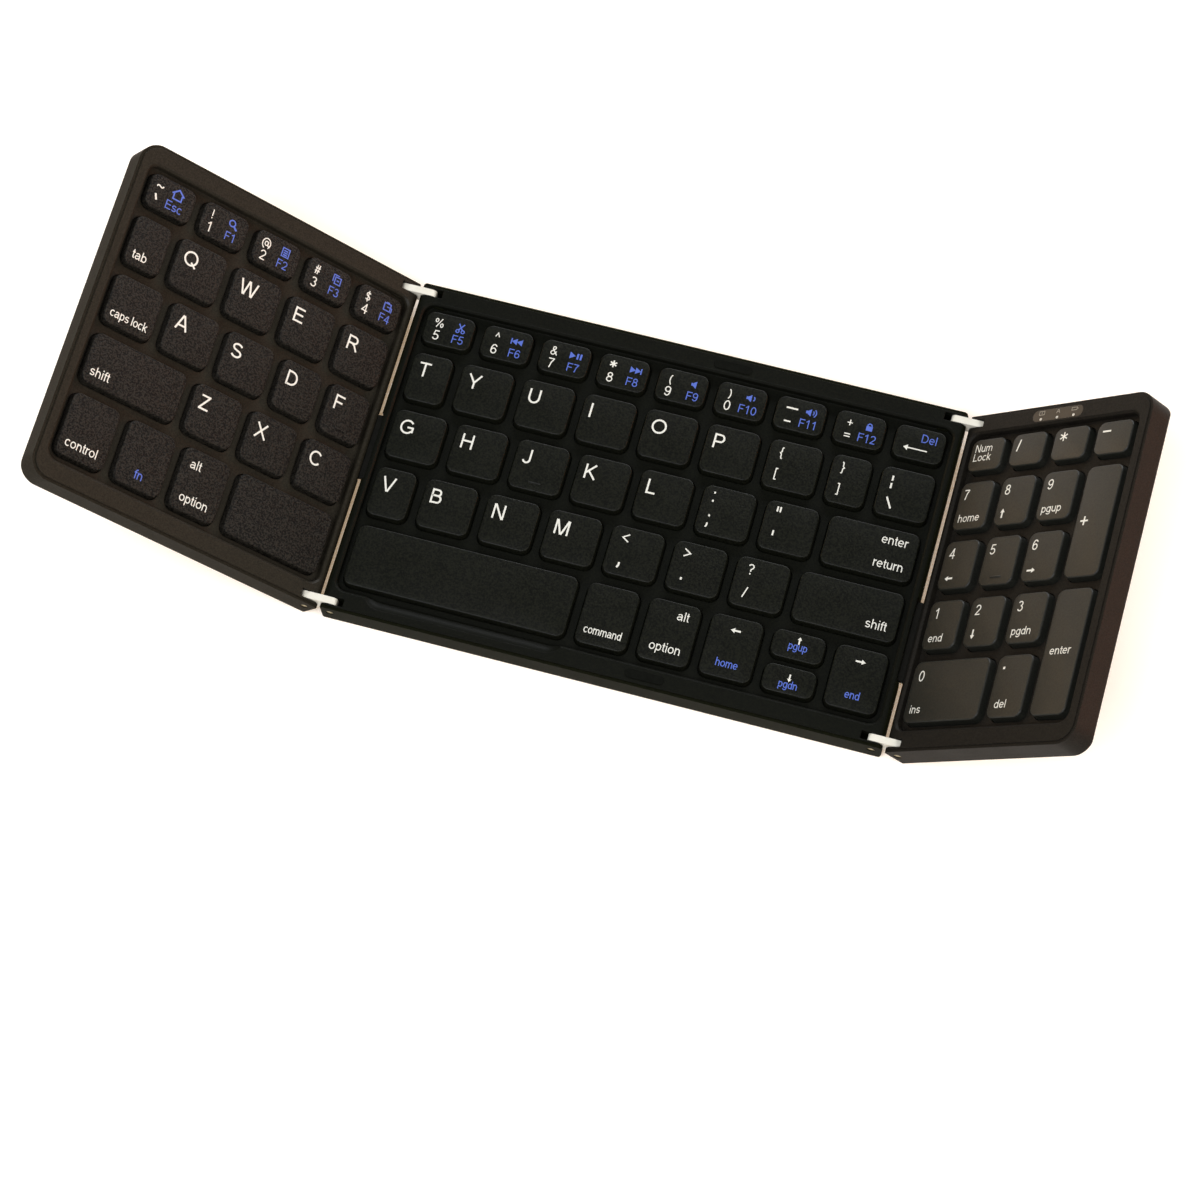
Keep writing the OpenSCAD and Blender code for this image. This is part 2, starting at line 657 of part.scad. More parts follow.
// Soft sleeve of the cable between two panels. It fills what the turned wing leaves of the gap
module cable_sleeve(length) {
    reach = norm([pin_inset - hinge_edge_r, pin_depth - hinge_edge_r]) + hinge_edge_r + 0.06;
    rotate([90, 0, 0]) linear_extrude(length, center = true) difference() {
        translate([-flat_gap + 0.1, pin_z - sleeve_h + 1]) square([flat_gap + sleeve_notch - 0.2, sleeve_h]);
        translate([-flat_gap - pin_inset, pin_z]) circle(reach);
    }
}

module centre_base() {
    color("#2b2c27") on_centre() difference() {
        base(centre_span, [true, true], 0, centre_screw_x);
        translate([port_x, panel_d / 2 + cut, port_z]) rotate([90, 0, 0]) linear_extrude(wall_t + 2 * cut)
            rounded_outline(port_w, port_h, port_h / 2 - 0.01);
    }
}

module centre_bezel() {
    // The scoop is the lower side of a long round-ended shape of this radius, set above the bezel
    rise = (pow(scoop_half_w, 2) - pow(scoop_depth, 2)) / (2 * scoop_depth);
    scoop_r = rise + scoop_depth;
    scoop_y = field_front - scoop_inset;
    from = centre_x + scoop_start + scoop_half_w;
    to = from + scoop_len - 2 * scoop_half_w;
    color("#2b2c27") on_centre() difference() {
        bezel(centre_span, [true, true], 0, centre_field, centre_keys, centre_screw_x);
        translate([from, scoop_y, panel_h + rise]) rotate([0, 90, 0]) cylinder(h = to - from, r = scoop_r);
        for (x = [from, to]) translate([x, scoop_y, panel_h + rise]) sphere(scoop_r);
        bumper_seats(0.3);
    }
}

module bumper_seats(depth) {
    for (y = [-1, 1])
        translate([bumper_x, y * (panel_d / 2 - bumper_inset), panel_h - depth])
            linear_extrude(depth + cut) rounded_outline(bumper_len, bumper_w, bumper_w / 2 - 0.01);
}

module bumpers() {
    color("#252622") on_centre() for (y = [-1, 1])
        translate([bumper_x, y * (panel_d / 2 - bumper_inset), panel_h - 0.3])
            linear_extrude(0.3 + bumper_rise) rounded_outline(bumper_len, bumper_w, bumper_w / 2 - 0.01);
}

module centre_key_plate() {
    color("#8a8d90") on_centre() difference() {
        key_plate(centre_span, [true, true], 0, centre_keys, centre_screw_x);
        port_room();
    }
}

module centre_dome_sheet() {
    color("#c9c9c2") on_centre() difference() {
        dome_sheet(centre_span, [true, true], 0, centre_keys, centre_screw_x);
        port_room();
    }
}

// The corner of the plate and of the sheet that the charging socket takes
module port_room() {
    translate([port_x, panel_d / 2, panel_h / 2]) cube([port_w + 2, 2 * port_d + 3, panel_h], center = true);
}

module centre_screws() { color("#55565a") on_centre() screws(centre_screw_x); }
module centre_feet() { color("#1b1b1b") on_centre() feet(centre_feet_x); }
module centre_hinge_pins() { color("#b9b4a8") on_centre() hinge_pins(centre_span, [true, true]); }

module battery() {
    color("#b7bcc0") on_centre() translate([battery_x, battery_y, floor_t])
        linear_extrude(battery_t) rounded_outline(battery_w, battery_d, 1);
}

// Control board beside the battery, with its rear edge against the charging socket
module circuit_board() {
    color("#20502f") on_centre()
        translate([port_x - board_w / 2, panel_d / 2 - 0.2 - port_d - board_clear - board_d, floor_t])
        cube([board_w, board_d, board_t]);
}

// Charging socket: a thin metal shell with a tongue, open at the rear
module charging_port() {
    shell_t = 0.3;
    color("#c4c4c4") on_centre() translate([port_x, panel_d / 2 - 0.2, port_z]) {
        difference() {
            rotate([90, 0, 0]) linear_extrude(port_d)
                rounded_outline(port_w - 0.1, port_h - 0.1, port_h / 2 - 0.1);
            translate([0, cut, 0]) rotate([90, 0, 0]) linear_extrude(port_d - shell_t + cut)
                rounded_outline(port_w - 0.1 - 2 * shell_t, port_h - 0.1 - 2 * shell_t, port_h / 2 - shell_t - 0.1);
        }
        translate([-3, -port_d + 0.1, -0.35]) cube([6, port_d - 1.2, 0.7]);
    }
}

module left_base() { color("#3b3631") on_left() base(left_span, [false, true], -1, left_screw_x); }
module left_bezel() {
    color("#3b3631") on_left() bezel(left_span, [false, true], -1, left_field, left_keys, left_screw_x);
}
module left_key_plate() {
    color("#8a8d90") on_left() key_plate(left_span, [false, true], -1, left_keys, left_screw_x);
}
module left_dome_sheet() {
    color("#c9c9c2") on_left() dome_sheet(left_span, [false, true], -1, left_keys, left_screw_x);
}
module left_screws() { color("#55565a") on_left() screws(left_screw_x); }
module left_feet() { color("#1b1b1b") on_left() feet(left_feet_x); }
module left_hinge_pins() { color("#b9b4a8") on_left() hinge_pins(left_span, [false, true]); }

module right_base() { color("#3b3631") on_right() base(right_span, [true, false], 1, right_screw_x); }
module right_bezel() {
    color("#3b3631") on_right() difference() {
        bezel(right_span, [true, false], 1, right_field, pad_keys, right_screw_x);
        window_shape(0.6, cut);
    }
}
module right_key_plate() {
    color("#8a8d90") on_right() key_plate(right_span, [true, false], 1, pad_keys, right_screw_x);
}
module right_dome_sheet() {
    color("#c9c9c2") on_right() dome_sheet(right_span, [true, false], 1, pad_keys, right_screw_x);
}
module right_screws() { color("#55565a") on_right() screws(right_screw_x); }
module right_feet() { color("#1b1b1b") on_right() feet(right_feet_x); }
module right_hinge_pins() { color("#b9b4a8") on_right() hinge_pins(right_span, [true, false]); }

// Oblong that the indicator window fills, from a depth under the bezel to a height above it
module window_shape(depth, above) {
    translate([pad_border + window_x, panel_d / 2 - window_inset, panel_h - depth])
        linear_extrude(depth + above) rounded_outline(window_len, window_w, window_w / 2 - 0.01);
}

module indicator_window() { color("#4a443e") on_right() window_shape(0.6, 0); }

// Two links to each hinge, at the front and at the rear
module left_links() {
    color("#e6e2da") on_centre() for (end = [0, 1])
        mirror([0, end, 0]) translate([-centre_w / 2, -panel_d / 2, 0]) link_plate();
}
module right_links() {
    color("#e6e2da") on_centre() for (end = [0, 1])
        mirror([0, end, 0]) mirror([1, 0, 0]) translate([-centre_w / 2, -panel_d / 2, 0]) link_plate();
}
module left_cable_sleeve() {
    color("#1f1f1e") on_centre() translate([-centre_w / 2, left_sleeve_y, 0]) cable_sleeve(left_sleeve_len - 1);
}
module right_cable_sleeve() {
    color("#1f1f1e") on_centre() mirror([1, 0, 0])
        translate([-centre_w / 2, right_sleeve_y, 0]) cable_sleeve(right_sleeve_len - 1);
}

module left_caps(keys) { color("#34302c") on_left() key_caps(keys); }
module centre_caps(keys) { color("#2c2c29") on_centre() key_caps(keys); }
module pad_caps(keys) { color("#38342f") on_right() key_caps(keys); }

centre_base();
centre_bezel();
centre_key_plate();
centre_dome_sheet();
centre_screws();
centre_feet();
centre_hinge_pins();
bumpers();
battery();
circuit_board();
charging_port();
left_base();
left_bezel();
left_key_plate();
left_dome_sheet();
left_screws();
left_feet();
left_hinge_pins();
right_base();
right_bezel();
right_key_plate();
right_dome_sheet();
right_screws();
right_feet();
right_hinge_pins();
indicator_window();
left_links();
right_links();
left_cable_sleeve();
right_cable_sleeve();
left_caps(left_row_1);  // left_number_keys
left_caps([left_row_2[0]]);  // tab_key
left_caps(slice(left_row_2, 1, 4));  // left_top_letter_keys
left_caps([left_row_3[0]]);  // caps_lock_key
left_caps(slice(left_row_3, 1, 4));  // left_home_letter_keys
left_caps([left_row_4[0]]);  // left_shift_key
left_caps(slice(left_row_4, 1, 3));  // left_lower_letter_keys
left_caps(slice(left_row_5, 0, 2));  // left_modifier_keys
left_caps([left_row_5[3]]);  // left_space_key
centre_caps(centre_row_1);  // centre_number_keys
centre_caps(centre_row_2);  // centre_top_letter_keys
centre_caps(slice(centre_row_3, 0, 6));  // centre_home_letter_keys
centre_caps([centre_row_3[7]]);  // return_key
centre_caps(slice(centre_row_4, 0, 6));  // centre_lower_letter_keys
centre_caps([centre_row_4[7]]);  // right_shift_key
centre_caps([centre_row_5[0]]);  // space_bar
centre_caps(slice(centre_row_5, 1, 2));  // centre_modifier_keys
centre_caps([centre_row_5[3]]);  // arrow_left_key
centre_caps([up_key]);  // arrow_up_key
centre_caps([down_key]);  // arrow_down_key
centre_caps([centre_row_5[5]]);  // arrow_right_key
pad_caps([pad_row_1[0]]);  // num_lock_key
pad_caps(slice(pad_row_1, 1, 3));  // pad_operator_keys
pad_caps(pad_row_2);  // pad_upper_digit_keys
pad_caps(pad_row_3);  // pad_middle_digit_keys
pad_caps(pad_row_4);  // pad_lower_digit_keys
pad_caps([plus_key]);  // pad_plus_key
pad_caps([enter_key]);  // pad_enter_key
pad_caps([pad_row_5[0]]);  // pad_zero_key
pad_caps([pad_row_5[1]]);  // pad_point_key
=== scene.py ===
"""Looks of a folding keyboard with a number pad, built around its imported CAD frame.

The middle panel lies on the table, and both wings are raised on their hinge links, as in the
photograph. Sizes are in millimetres in each panel's own axes: x to the right, y to the rear, and
z out of the keys.
"""
import json
import math

import bmesh
import bpy
from mathutils import Matrix, Vector

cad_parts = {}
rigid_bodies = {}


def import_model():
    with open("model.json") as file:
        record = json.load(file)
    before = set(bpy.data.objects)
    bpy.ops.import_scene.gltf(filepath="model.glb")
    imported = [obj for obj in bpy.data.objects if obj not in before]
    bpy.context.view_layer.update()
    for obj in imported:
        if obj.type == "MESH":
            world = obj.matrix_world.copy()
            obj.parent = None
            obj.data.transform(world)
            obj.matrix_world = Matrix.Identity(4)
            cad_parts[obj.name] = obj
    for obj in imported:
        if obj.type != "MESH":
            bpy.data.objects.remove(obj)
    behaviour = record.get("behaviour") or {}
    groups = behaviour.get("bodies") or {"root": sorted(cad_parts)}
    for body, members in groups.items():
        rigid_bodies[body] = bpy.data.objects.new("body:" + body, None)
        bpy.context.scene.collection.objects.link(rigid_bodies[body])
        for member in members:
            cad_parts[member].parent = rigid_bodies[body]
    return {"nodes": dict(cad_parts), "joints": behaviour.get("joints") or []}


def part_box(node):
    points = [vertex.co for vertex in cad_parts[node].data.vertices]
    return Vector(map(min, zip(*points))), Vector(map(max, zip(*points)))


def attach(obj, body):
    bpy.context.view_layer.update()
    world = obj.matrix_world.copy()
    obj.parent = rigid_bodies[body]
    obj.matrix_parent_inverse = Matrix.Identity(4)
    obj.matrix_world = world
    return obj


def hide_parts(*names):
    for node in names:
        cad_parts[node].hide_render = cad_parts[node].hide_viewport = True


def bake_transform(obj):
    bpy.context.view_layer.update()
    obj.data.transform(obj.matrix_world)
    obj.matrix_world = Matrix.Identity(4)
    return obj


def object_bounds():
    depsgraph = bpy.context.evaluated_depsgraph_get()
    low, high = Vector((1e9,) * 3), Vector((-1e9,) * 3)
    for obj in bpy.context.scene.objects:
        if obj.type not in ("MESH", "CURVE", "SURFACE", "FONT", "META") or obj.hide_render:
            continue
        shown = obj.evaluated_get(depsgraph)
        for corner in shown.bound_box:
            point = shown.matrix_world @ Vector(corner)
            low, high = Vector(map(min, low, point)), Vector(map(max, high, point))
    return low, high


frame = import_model()
cad_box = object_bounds()
MM = 0.001


# --- Camera -------------------------------------------------------------------------------------
# A long lens about 0.9 m away looks down on the keyboard from the front right. Its place, its aim
# and its focal length come from a fit to the corners of all the key tops in the photograph.
photo_width_px = 1200
focal_length_px = 3292
sensor_width_mm = 36
nearest_seen_mm = 50
camera_place_mm = (118.7, -320.0, 861.2)
camera_aim = (-0.1223, 0.3204, -0.9394)
camera_roll_deg = -5.68

camera_data = bpy.data.cameras.new("photo_camera")
camera_data.sensor_width = sensor_width_mm
camera_data.lens = sensor_width_mm * focal_length_px / photo_width_px
camera_data.clip_start = nearest_seen_mm * MM
camera = bpy.data.objects.new("photo_camera", camera_data)
aim_turn = Vector(camera_aim).to_track_quat("-Z", "Y").to_matrix().to_4x4()
camera.matrix_world = (
    Matrix.Translation(Vector(camera_place_mm) * MM)
    @ aim_turn
    @ Matrix.Rotation(math.radians(camera_roll_deg), 4, "Z")
)
bpy.context.collection.objects.link(camera)
bpy.context.scene.camera = camera
bpy.context.scene.view_settings.view_transform = "Standard"


# --- Table and light ----------------------------------------------------------------------------
# A light table of white acrylic under the keyboard, lit faintly from below, and a room whose warm
# walls are bright and whose ceiling is dark, so that the middle keys stay nearly black.
table_size_mm = 6000
table_white = "#F4F4F2"
table_glow = 0.36
glow_tan = "#F4D2A8"
wall_warm_white = "#FFF8EC"
ceiling_grey = "#50504A"
wall_end, ceiling_start = 0.3, 0.8
room_strength = 0.62
lamps = (
    # name, place in mm, width and height in mm, power in watts, colour
    ("front_softbox", (-300, -760, 1500), (1100, 1100), 25, "#F6F9FF"),
    ("rear_softbox", (100, 1400, 640), (1500, 500), 22, "#F6F9FF"),
    ("right_softbox", (1200, -400, 1050), (800, 800), 10, "#FFF6EA"),
    ("left_amber_softbox", (-1500, 300, 220), (900, 400), 6, "#FFD29A"),
    ("right_amber_softbox", (1500, 420, 110), (1100, 260), 9, "#FF7C2C"),
)


def srgb(code):
    """Linear colour with alpha from an sRGB hex value."""
    parts = [int(code[i:i + 2], 16) / 255 for i in (1, 3, 5)]
    linear = [p / 12.92 if p <= 0.04045 else ((p + 0.055) / 1.055) ** 2.4 for p in parts]
    return (*linear, 1.0)


def add(tree, kind, inputs=None, **settings):
    """One node with its settings. Inputs, by name or number, get a value or another's socket."""
    node = tree.nodes.new(kind)
    for name, value in settings.items():
        setattr(node, name, value)
    for name, value in (inputs or {}).items():
        socket = node.inputs[name]
        if isinstance(value, bpy.types.NodeSocket):
            tree.links.new(value, socket)
        else:
            socket.default_value = value
    return node


def new_material(name):
    """An empty material, its node tree, and the Object coordinates that its patterns read."""
    material = bpy.data.materials.new(name)
    material.use_nodes = True
    tree = material.node_tree
    tree.nodes.clear()
    return material, tree, add(tree, "ShaderNodeTexCoord").outputs["Object"]


def mesh_object(name, mesh, *materials):
    """An object at the origin that shows this mesh."""
    piece = bpy.data.objects.new(name, mesh)
    for material in materials:
        mesh.materials.append(material)
    bpy.context.collection.objects.link(piece)
    return piece


def rectangle(low_x, low_y, high_x, high_y):
    return [(low_x, low_y), (high_x, low_y), (high_x, high_y), (low_x, high_y)]


table_material, tree, _ = new_material("opal_acrylic")
table_shader = add(tree, "ShaderNodeBsdfPrincipled", {
    "Base Color": srgb(table_white), "Roughness": 0.8, "Specular IOR Level": 0.2,
    "Emission Color": srgb(glow_tan), "Emission Strength": table_glow})
add(tree, "ShaderNodeOutputMaterial", {"Surface": table_shader.outputs[0]})

half_table = table_size_mm / 2 * MM
table_corners = rectangle(-half_table, -half_table, half_table, half_table)
table_mesh = bpy.data.meshes.new("light_table")
table_mesh.from_pydata([(x, y, 0) for x, y in table_corners], [], [(0, 1, 2, 3)])
table = mesh_object("light_table", table_mesh, table_material)
table.location.z = cad_box[0][2]

room = bpy.data.worlds.new("pale_room")
room.use_nodes = True
room_tree = room.node_tree
room_tree.nodes.clear()
direction = add(room_tree, "ShaderNodeTexCoord")
height = add(room_tree, "ShaderNodeSeparateXYZ", {"Vector": direction.outputs["Generated"]})
wall = add(room_tree, "ShaderNodeMapRange", {
    "Value": height.outputs["Z"], "From Min": wall_end, "From Max": ceiling_start},
    interpolation_type="SMOOTHSTEP")
room_colour = add(room_tree, "ShaderNodeMix", {
    "Factor": wall.outputs["Result"], 6: srgb(wall_warm_white), 7: srgb(ceiling_grey)},
    data_type="RGBA")
room_light = add(room_tree, "ShaderNodeBackground", {
    "Color": room_colour.outputs[2], "Strength": room_strength})
add(room_tree, "ShaderNodeOutputWorld", {"Surface": room_light.outputs[0]})
bpy.context.scene.world = room

for lamp_name, lamp_place, lamp_size, lamp_power, lamp_colour in lamps:
    lamp_data = bpy.data.lights.new(lamp_name, "AREA")
    lamp_data.shape = "RECTANGLE"
    lamp_data.size, lamp_data.size_y = (side * MM for side in lamp_size)
    lamp_data.energy = lamp_power
    lamp_data.color = srgb(lamp_colour)[:3]
    lamp = bpy.data.objects.new(lamp_name, lamp_data)
    lamp.location = Vector(lamp_place) * MM
    lamp.rotation_euler = (-lamp.location).to_track_quat("-Z", "Y").to_euler()
    bpy.context.collection.objects.link(lamp)


# --- Cases --------------------------------------------------------------------------------------
# Each panel is a shallow ABS base with a thin rim and a bezel set inside it. Both are moulded
# against a spark-eroded tool, which gives a fine matt grain. The bezels of the middle panel and
# the left wing are a little glossier than their bases. As painted light, the wings are coloured
# browner and lighter than the middle panel, and the left wing lighter than the right.
moulding_grain_mm = 0.42  # the real grain is about 0.15 mm: drawn coarser so that it shows
case_edge_mm = 0.28
gloss_patch_mm = 9
case_finishes = (
    # material, pits and lands, pit depth in mm, roughness, specular level, CAD nodes
    ("spark_eroded_black_abs", "#0D0E07", "#16170C", 0.02, 0.56, 0.022, ["centre_base"]),
    ("satin_black_abs", "#090A07", "#11120C", 0.02, 0.46, 0.07, ["centre_bezel"]),
    # Painted light: the left wing's finishes are coloured lighter than the right wing's, and both
    # wings warmer than the middle.
    ("spark_eroded_brown_abs", "#1A1812", "#29251E", 0.025, 0.6, 0.03, ["left_base"]),
    ("satin_brown_abs", "#1B1812", "#2A261E", 0.025, 0.44, 0.1, ["left_bezel"]),
    ("spark_eroded_dark_brown_abs", "#14120F", "#201D18", 0.025, 0.58, 0.07,
     ["right_base", "right_bezel"]),
)
nodes = frame["nodes"]


def grained_plastic(name, colour, light_colour, grain_mm, grain_depth_mm, roughness, edge_mm,
                    specular=0.5, blur=0.14):
    """Moulded plastic: fine pits, a little uneven gloss, and edges that catch the light."""
    material, tree, place = new_material(name)
    grain = add(tree, "ShaderNodeTexNoise", {
        "Vector": place, "Scale": 1 / (grain_mm * MM), "Detail": 3.0, "Roughness": 0.6})
    cloud = add(tree, "ShaderNodeTexNoise", {
        "Vector": place, "Scale": 1 / (gloss_patch_mm * MM), "Detail": 2.0})
    spread = add(tree, "ShaderNodeMapRange", {
        "Value": grain.outputs["Fac"], "From Min": 0.5 - blur, "From Max": 0.5 + blur})
    colours = add(tree, "ShaderNodeMix", {
        "Factor": spread.outputs["Result"], 6: srgb(colour), 7: srgb(light_colour)},
        data_type="RGBA")
    matt = add(tree, "ShaderNodeMapRange", {
        "Value": cloud.outputs["Fac"], "To Min": roughness - 0.05, "To Max": roughness + 0.05})
    soft_edge = add(tree, "ShaderNodeBevel", {"Radius": edge_mm * MM}, samples=4)
    pits = add(tree, "ShaderNodeBump", {
        "Height": grain.outputs["Fac"], "Strength": 1.0, "Distance": grain_depth_mm * MM,
        "Normal": soft_edge.outputs["Normal"]})
    shader = add(tree, "ShaderNodeBsdfPrincipled", {
        "Base Color": colours.outputs[2], "Roughness": matt.outputs["Result"], "IOR": 1.54,
        "Specular IOR Level": specular, "Normal": pits.outputs["Normal"]})
    add(tree, "ShaderNodeOutputMaterial", {"Surface": shader.outputs[0]})
    return material


def dress(material, *endings):
    """Gives a finish to the CAD nodes whose names end so, on the meshes that the frame brings."""
    for name, node in nodes.items():
        if name.endswith(endings):
            node.data.materials.clear()
            node.data.materials.append(material)


for name, colour, light_colour, depth_mm, roughness, specular, mouldings in case_finishes:
    dress(grained_plastic(name, colour, light_colour, moulding_grain_mm, depth_mm, roughness,
                          case_edge_mm, specular), *mouldings)


# --- Key caps -----------------------------------------------------------------------------------
# Thin hollow ABS caps with a soft matt coat. Their sides lean out to the foot and a small round
# runs along the top edge. Each key node gets one mesh, with a cap at each of the node's solids.
cap_draft_mm = 0.25
draft_at_round = 0.9  # share of the draft that is used up where the round starts
cap_corner_mm = 2.3
least_corner_mm = 0.3
cap_round_mm = 0.4
cap_wall_mm = 0.9
cap_top_mm = 0.9
corner_steps = 6
round_steps = 4
home_bar_mm = (3.8, 0.55)
home_bar_rings_mm = ((0.0, -0.1), (0.0, 0.128), (0.12, 0.272), (0.22, 0.32))  # inset, height
home_bar_front_mm = 2.4
home_bar_sides = 16

joints = {joint["name"]: joint for joint in frame["joints"]}


def panel_place(press_joint, pin_joint):
    """Matrix from a panel's own millimetres, about a hinge pin, to the frame's metres."""
    up = -Vector(joints[press_joint]["axis"]).normalized()
    across = Vector((0, 1, 0)).cross(up)
    place = Matrix((across, (0, 1, 0), up)).transposed().to_4x4()
    place.translation = Vector(joints[pin_joint]["pos_m"])
    return place @ Matrix.Scale(MM, 4)


middle = panel_place("space_bar_press", "left_link_turn")
left = panel_place("left_space_press", "left_wing_turn")
right = panel_place("pad_zero_press", "right_wing_turn")


def keys_on(panel):
    """The key nodes of a panel. Each is a body of the same name, on its own press joint."""
    return [joint["child"] for joint in frame["joints"]
            if joint["parent"] == panel and joint["name"].endswith("_press")]


def solids_in(name, place):
    """Lowest and highest corner of each solid of a CAD node in its panel's mm, from the left."""
    shape = bmesh.new()
    shape.from_mesh(nodes[name].data)
    bmesh.ops.remove_doubles(shape, verts=shape.verts, dist=0.001 * MM)
    to_panel = place.inverted()
    boxes = []
    seen = set()
    for start in shape.verts:
        if start in seen:
            continue
        seen.add(start)
        island = [start]
        for vert in island:
            for edge in vert.link_edges:
                other = edge.other_vert(vert)
                if other not in seen:
                    seen.add(other)
                    island.append(other)
        corners = [to_panel @ vert.co for vert in island]
        boxes.append(tuple(Vector([pick(c[i] for c in corners) for i in range(3)])
                           for pick in (min, max)))
    shape.free()
    return sorted(boxes, key=lambda box: box[0].x)


def rounded_ring(box, inset, z):
    """Corner points of a rounded rectangle, set in from a cap's foot, anticlockwise."""
    low, high = box
    radius = max(cap_corner_mm + cap_draft_mm - inset, least_corner_mm)
    centre, reach = (low + high) / 2, (high - low) / 2
    reach_x, reach_y = reach.x - inset - radius, reach.y - inset - radius
    ring = []
    for turn, (side_x, side_y) in enumerate(((1, 1), (-1, 1), (-1, -1), (1, -1))):
        for step in range(corner_steps + 1):
            angle = math.radians(90) * (turn + step / corner_steps)
            ring.append(Vector((centre.x + side_x * reach_x + radius * math.cos(angle),
                                centre.y + side_y * reach_y + radius * math.sin(angle), z)))
    return ring


def loft(shape, rings):
    """Closes a row of equal rings into one skin, with a flat face at each end."""
    rows = [[shape.verts.new(point) for point in ring] for ring in rings]
    count = len(rows[0])
    skin = []
    for lower, upper in zip(rows, rows[1:]):
        for i in range(count):
            after = (i + 1) % count
            skin.append(shape.faces.new((lower[i], lower[after], upper[after], upper[i])))
    skin += [shape.faces.new(rows[0][::-1]), shape.faces.new(rows[-1])]
    bmesh.ops.recalc_face_normals(shape, faces=skin)


def cap_skin(shape, box):
    """One hollow cap: up its cavity, down to its foot, up the leaning sides, over the round."""
    low, high = box
    lean = cap_draft_mm * draft_at_round
    side_top = high.z - cap_round_mm
    rings = [rounded_ring(box, cap_draft_mm + cap_wall_mm, high.z - cap_top_mm),
             rounded_ring(box, cap_wall_mm, low.z),
             rounded_ring(box, 0.0, low.z),
             rounded_ring(box, lean, side_top)]
    for step in range(1, round_steps + 1):
        angle = math.radians(90) * step / round_steps
        rings.append(rounded_ring(box, lean + cap_round_mm * (1 - math.cos(angle)),
                                  side_top + cap_round_mm * math.sin(angle)))
    loft(shape, rings)


def home_bar(shape, box):
    """Low bar that a finger feels near the front of the F, J and 5 keys."""
    length, width = home_bar_mm
    centre_x = (box[0].x + box[1].x) / 2
    y = box[0].y + cap_draft_mm + home_bar_front_mm
    rings = []
    for inset, rise in home_bar_rings_mm:
        radius = width / 2 - inset
        ring = []
        for turn in range(home_bar_sides):
            angle = 2 * math.pi * (turn + 0.5) / home_bar_sides
            end_x = centre_x + math.copysign((length - width) / 2, math.cos(angle))
            ring.append(Vector((end_x + radius * math.cos(angle),
                                y + radius * math.sin(angle), box[1].z + rise)))
        rings.append(ring)
    loft(shape, rings)


def finish_mesh(name, shape, place, crease_deg=35):
    """Turns a shape into a smooth mesh, put in the frame's metres by its place."""
    mesh = bpy.data.meshes.new(name)
    shape.to_mesh(mesh)
    shape.free()
    mesh.transform(place)
    mesh.shade_smooth()
    mesh.set_sharp_from_angle(angle=math.radians(crease_deg))
    return mesh


# Painted light: the left and right caps are one coat coloured apart for how each wing is lit, and
# the left caps' strong light speckle is a painted sheen on their grain.
middle_cap = grained_plastic(
    "matt_coated_black_cap", "#060704", "#15160F", 0.5, 0.07, 0.42, 0.14, 0.12, 0.09)
left_cap = grained_plastic(
    "matt_coated_left_cap", "#040403", "#26231E", 0.5, 0.28, 0.46, 0.14, 0.1, 0.06)
right_cap = grained_plastic(
    "matt_coated_right_cap", "#10110E", "#1D1E18", 0.45, 0.035, 0.48, 0.14, 0.33)

panels = (("left_wing", left, left_cap, "key_brown"),
          ("middle_panel", middle, middle_cap, "key_dark"),
          ("right_wing", right, right_cap, "key_brown"))
# The keys with a home bar: F is the last in its group, J the third and 5 the second
home_keys = {"left_home_letter_keys": 3, "centre_home_letter_keys": 2, "pad_middle_digit_keys": 1}
caps = {}
for panel, place, coat, slot_name in panels:
    for name in keys_on(panel):
        caps[name] = solids_in(name, place)
        shape = bmesh.new()
        for box in caps[name]:
            cap_skin(shape, box)
        if name in home_keys:
            home_bar(shape, caps[name][home_keys[name]])
        piece = mesh_object(name + "_caps", finish_mesh(name + "_caps", shape, place), coat)
        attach(piece, name)
        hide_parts(name)


# --- Legends ------------------------------------------------------------------------------------
# White and blue ink, pad-printed on the coated caps in a plain sans serif. Each print is a film
# of ink with a real, very small thickness. Offsets run from a cap's rear left corner.
ink_mm = 0.03
ink_sunk_mm = ink_mm / 3
ink_layers, ink_layer_mm = 7, ink_mm / 40  # strokes that cross lie in layers of their own
letter_mm = 4.4
word_mm = 2.75
word_squeeze = 0.86
wide_squeeze = 0.95
letter_corner_mm = (2.2, 7.1)
icon_line_mm = 0.42
bow_step_deg = 15
mitre_limit = 0.5
# The number row: feet of sign, digit, icon and function name, then their sizes
sign_foot_mm, digit_foot_mm, icon_foot_mm, function_foot_mm = 4.55, 8.55, 3.35, 8.3
sign_mm, digit_mm, icon_scale, function_mm = 2.75, 3.05, 0.9, 2.6
pad_digit_foot_mm, pad_digit_mm = 5.35, 3.15
blue_squeeze, blue_pen = 0.76, 11


def bow(x, y, reach_x, reach_y, start_deg=0, end_deg=360):
    """Points along part of an ellipse, anticlockwise where the end angle is the larger one."""
    steps = max(3, round(abs(end_deg - start_deg) / bow_step_deg))
    turn = math.radians(end_deg - start_deg) / steps
    angles = [math.radians(start_deg) + turn * i for i in range(steps + 1)]
    return [(x + reach_x * math.cos(a), y + reach_y * math.sin(a)) for a in angles]


def line(points, width=icon_line_mm, closed=False):
    """Polygons of a pen stroke through these points, with mitred corners and square ends."""
    path = [Vector(point) for point in list(points) + ([points[0]] if closed else [])]
    closed = (path[0] - path[-1]).length < 1e-4
    sides = []
    for i, spot in enumerate(path):
        before = path[i - 1] if i else path[-2] if closed else None
        after = path[i + 1] if i + 1 < len(path) else path[1] if closed else None
        steps = [(b - a).normalized() for a, b in ((before, spot), (spot, after))
                 if a is not None and b is not None]
        along = sum(steps, Vector((0.0, 0.0))).normalized()
        side = Vector((-along.y, along.x)) * (width / 2 / max(along.dot(steps[0]), mitre_limit))
        sides.append((spot + side, spot - side))
    return [[tuple(a), tuple(b), tuple(d), tuple(c)]
            for (a, b), (c, d) in zip(sides, sides[1:])]


def arc(x, y, radius, start_deg, end_deg, width=icon_line_mm):
    return line(bow(x, y, radius, radius, start_deg, end_deg), width)


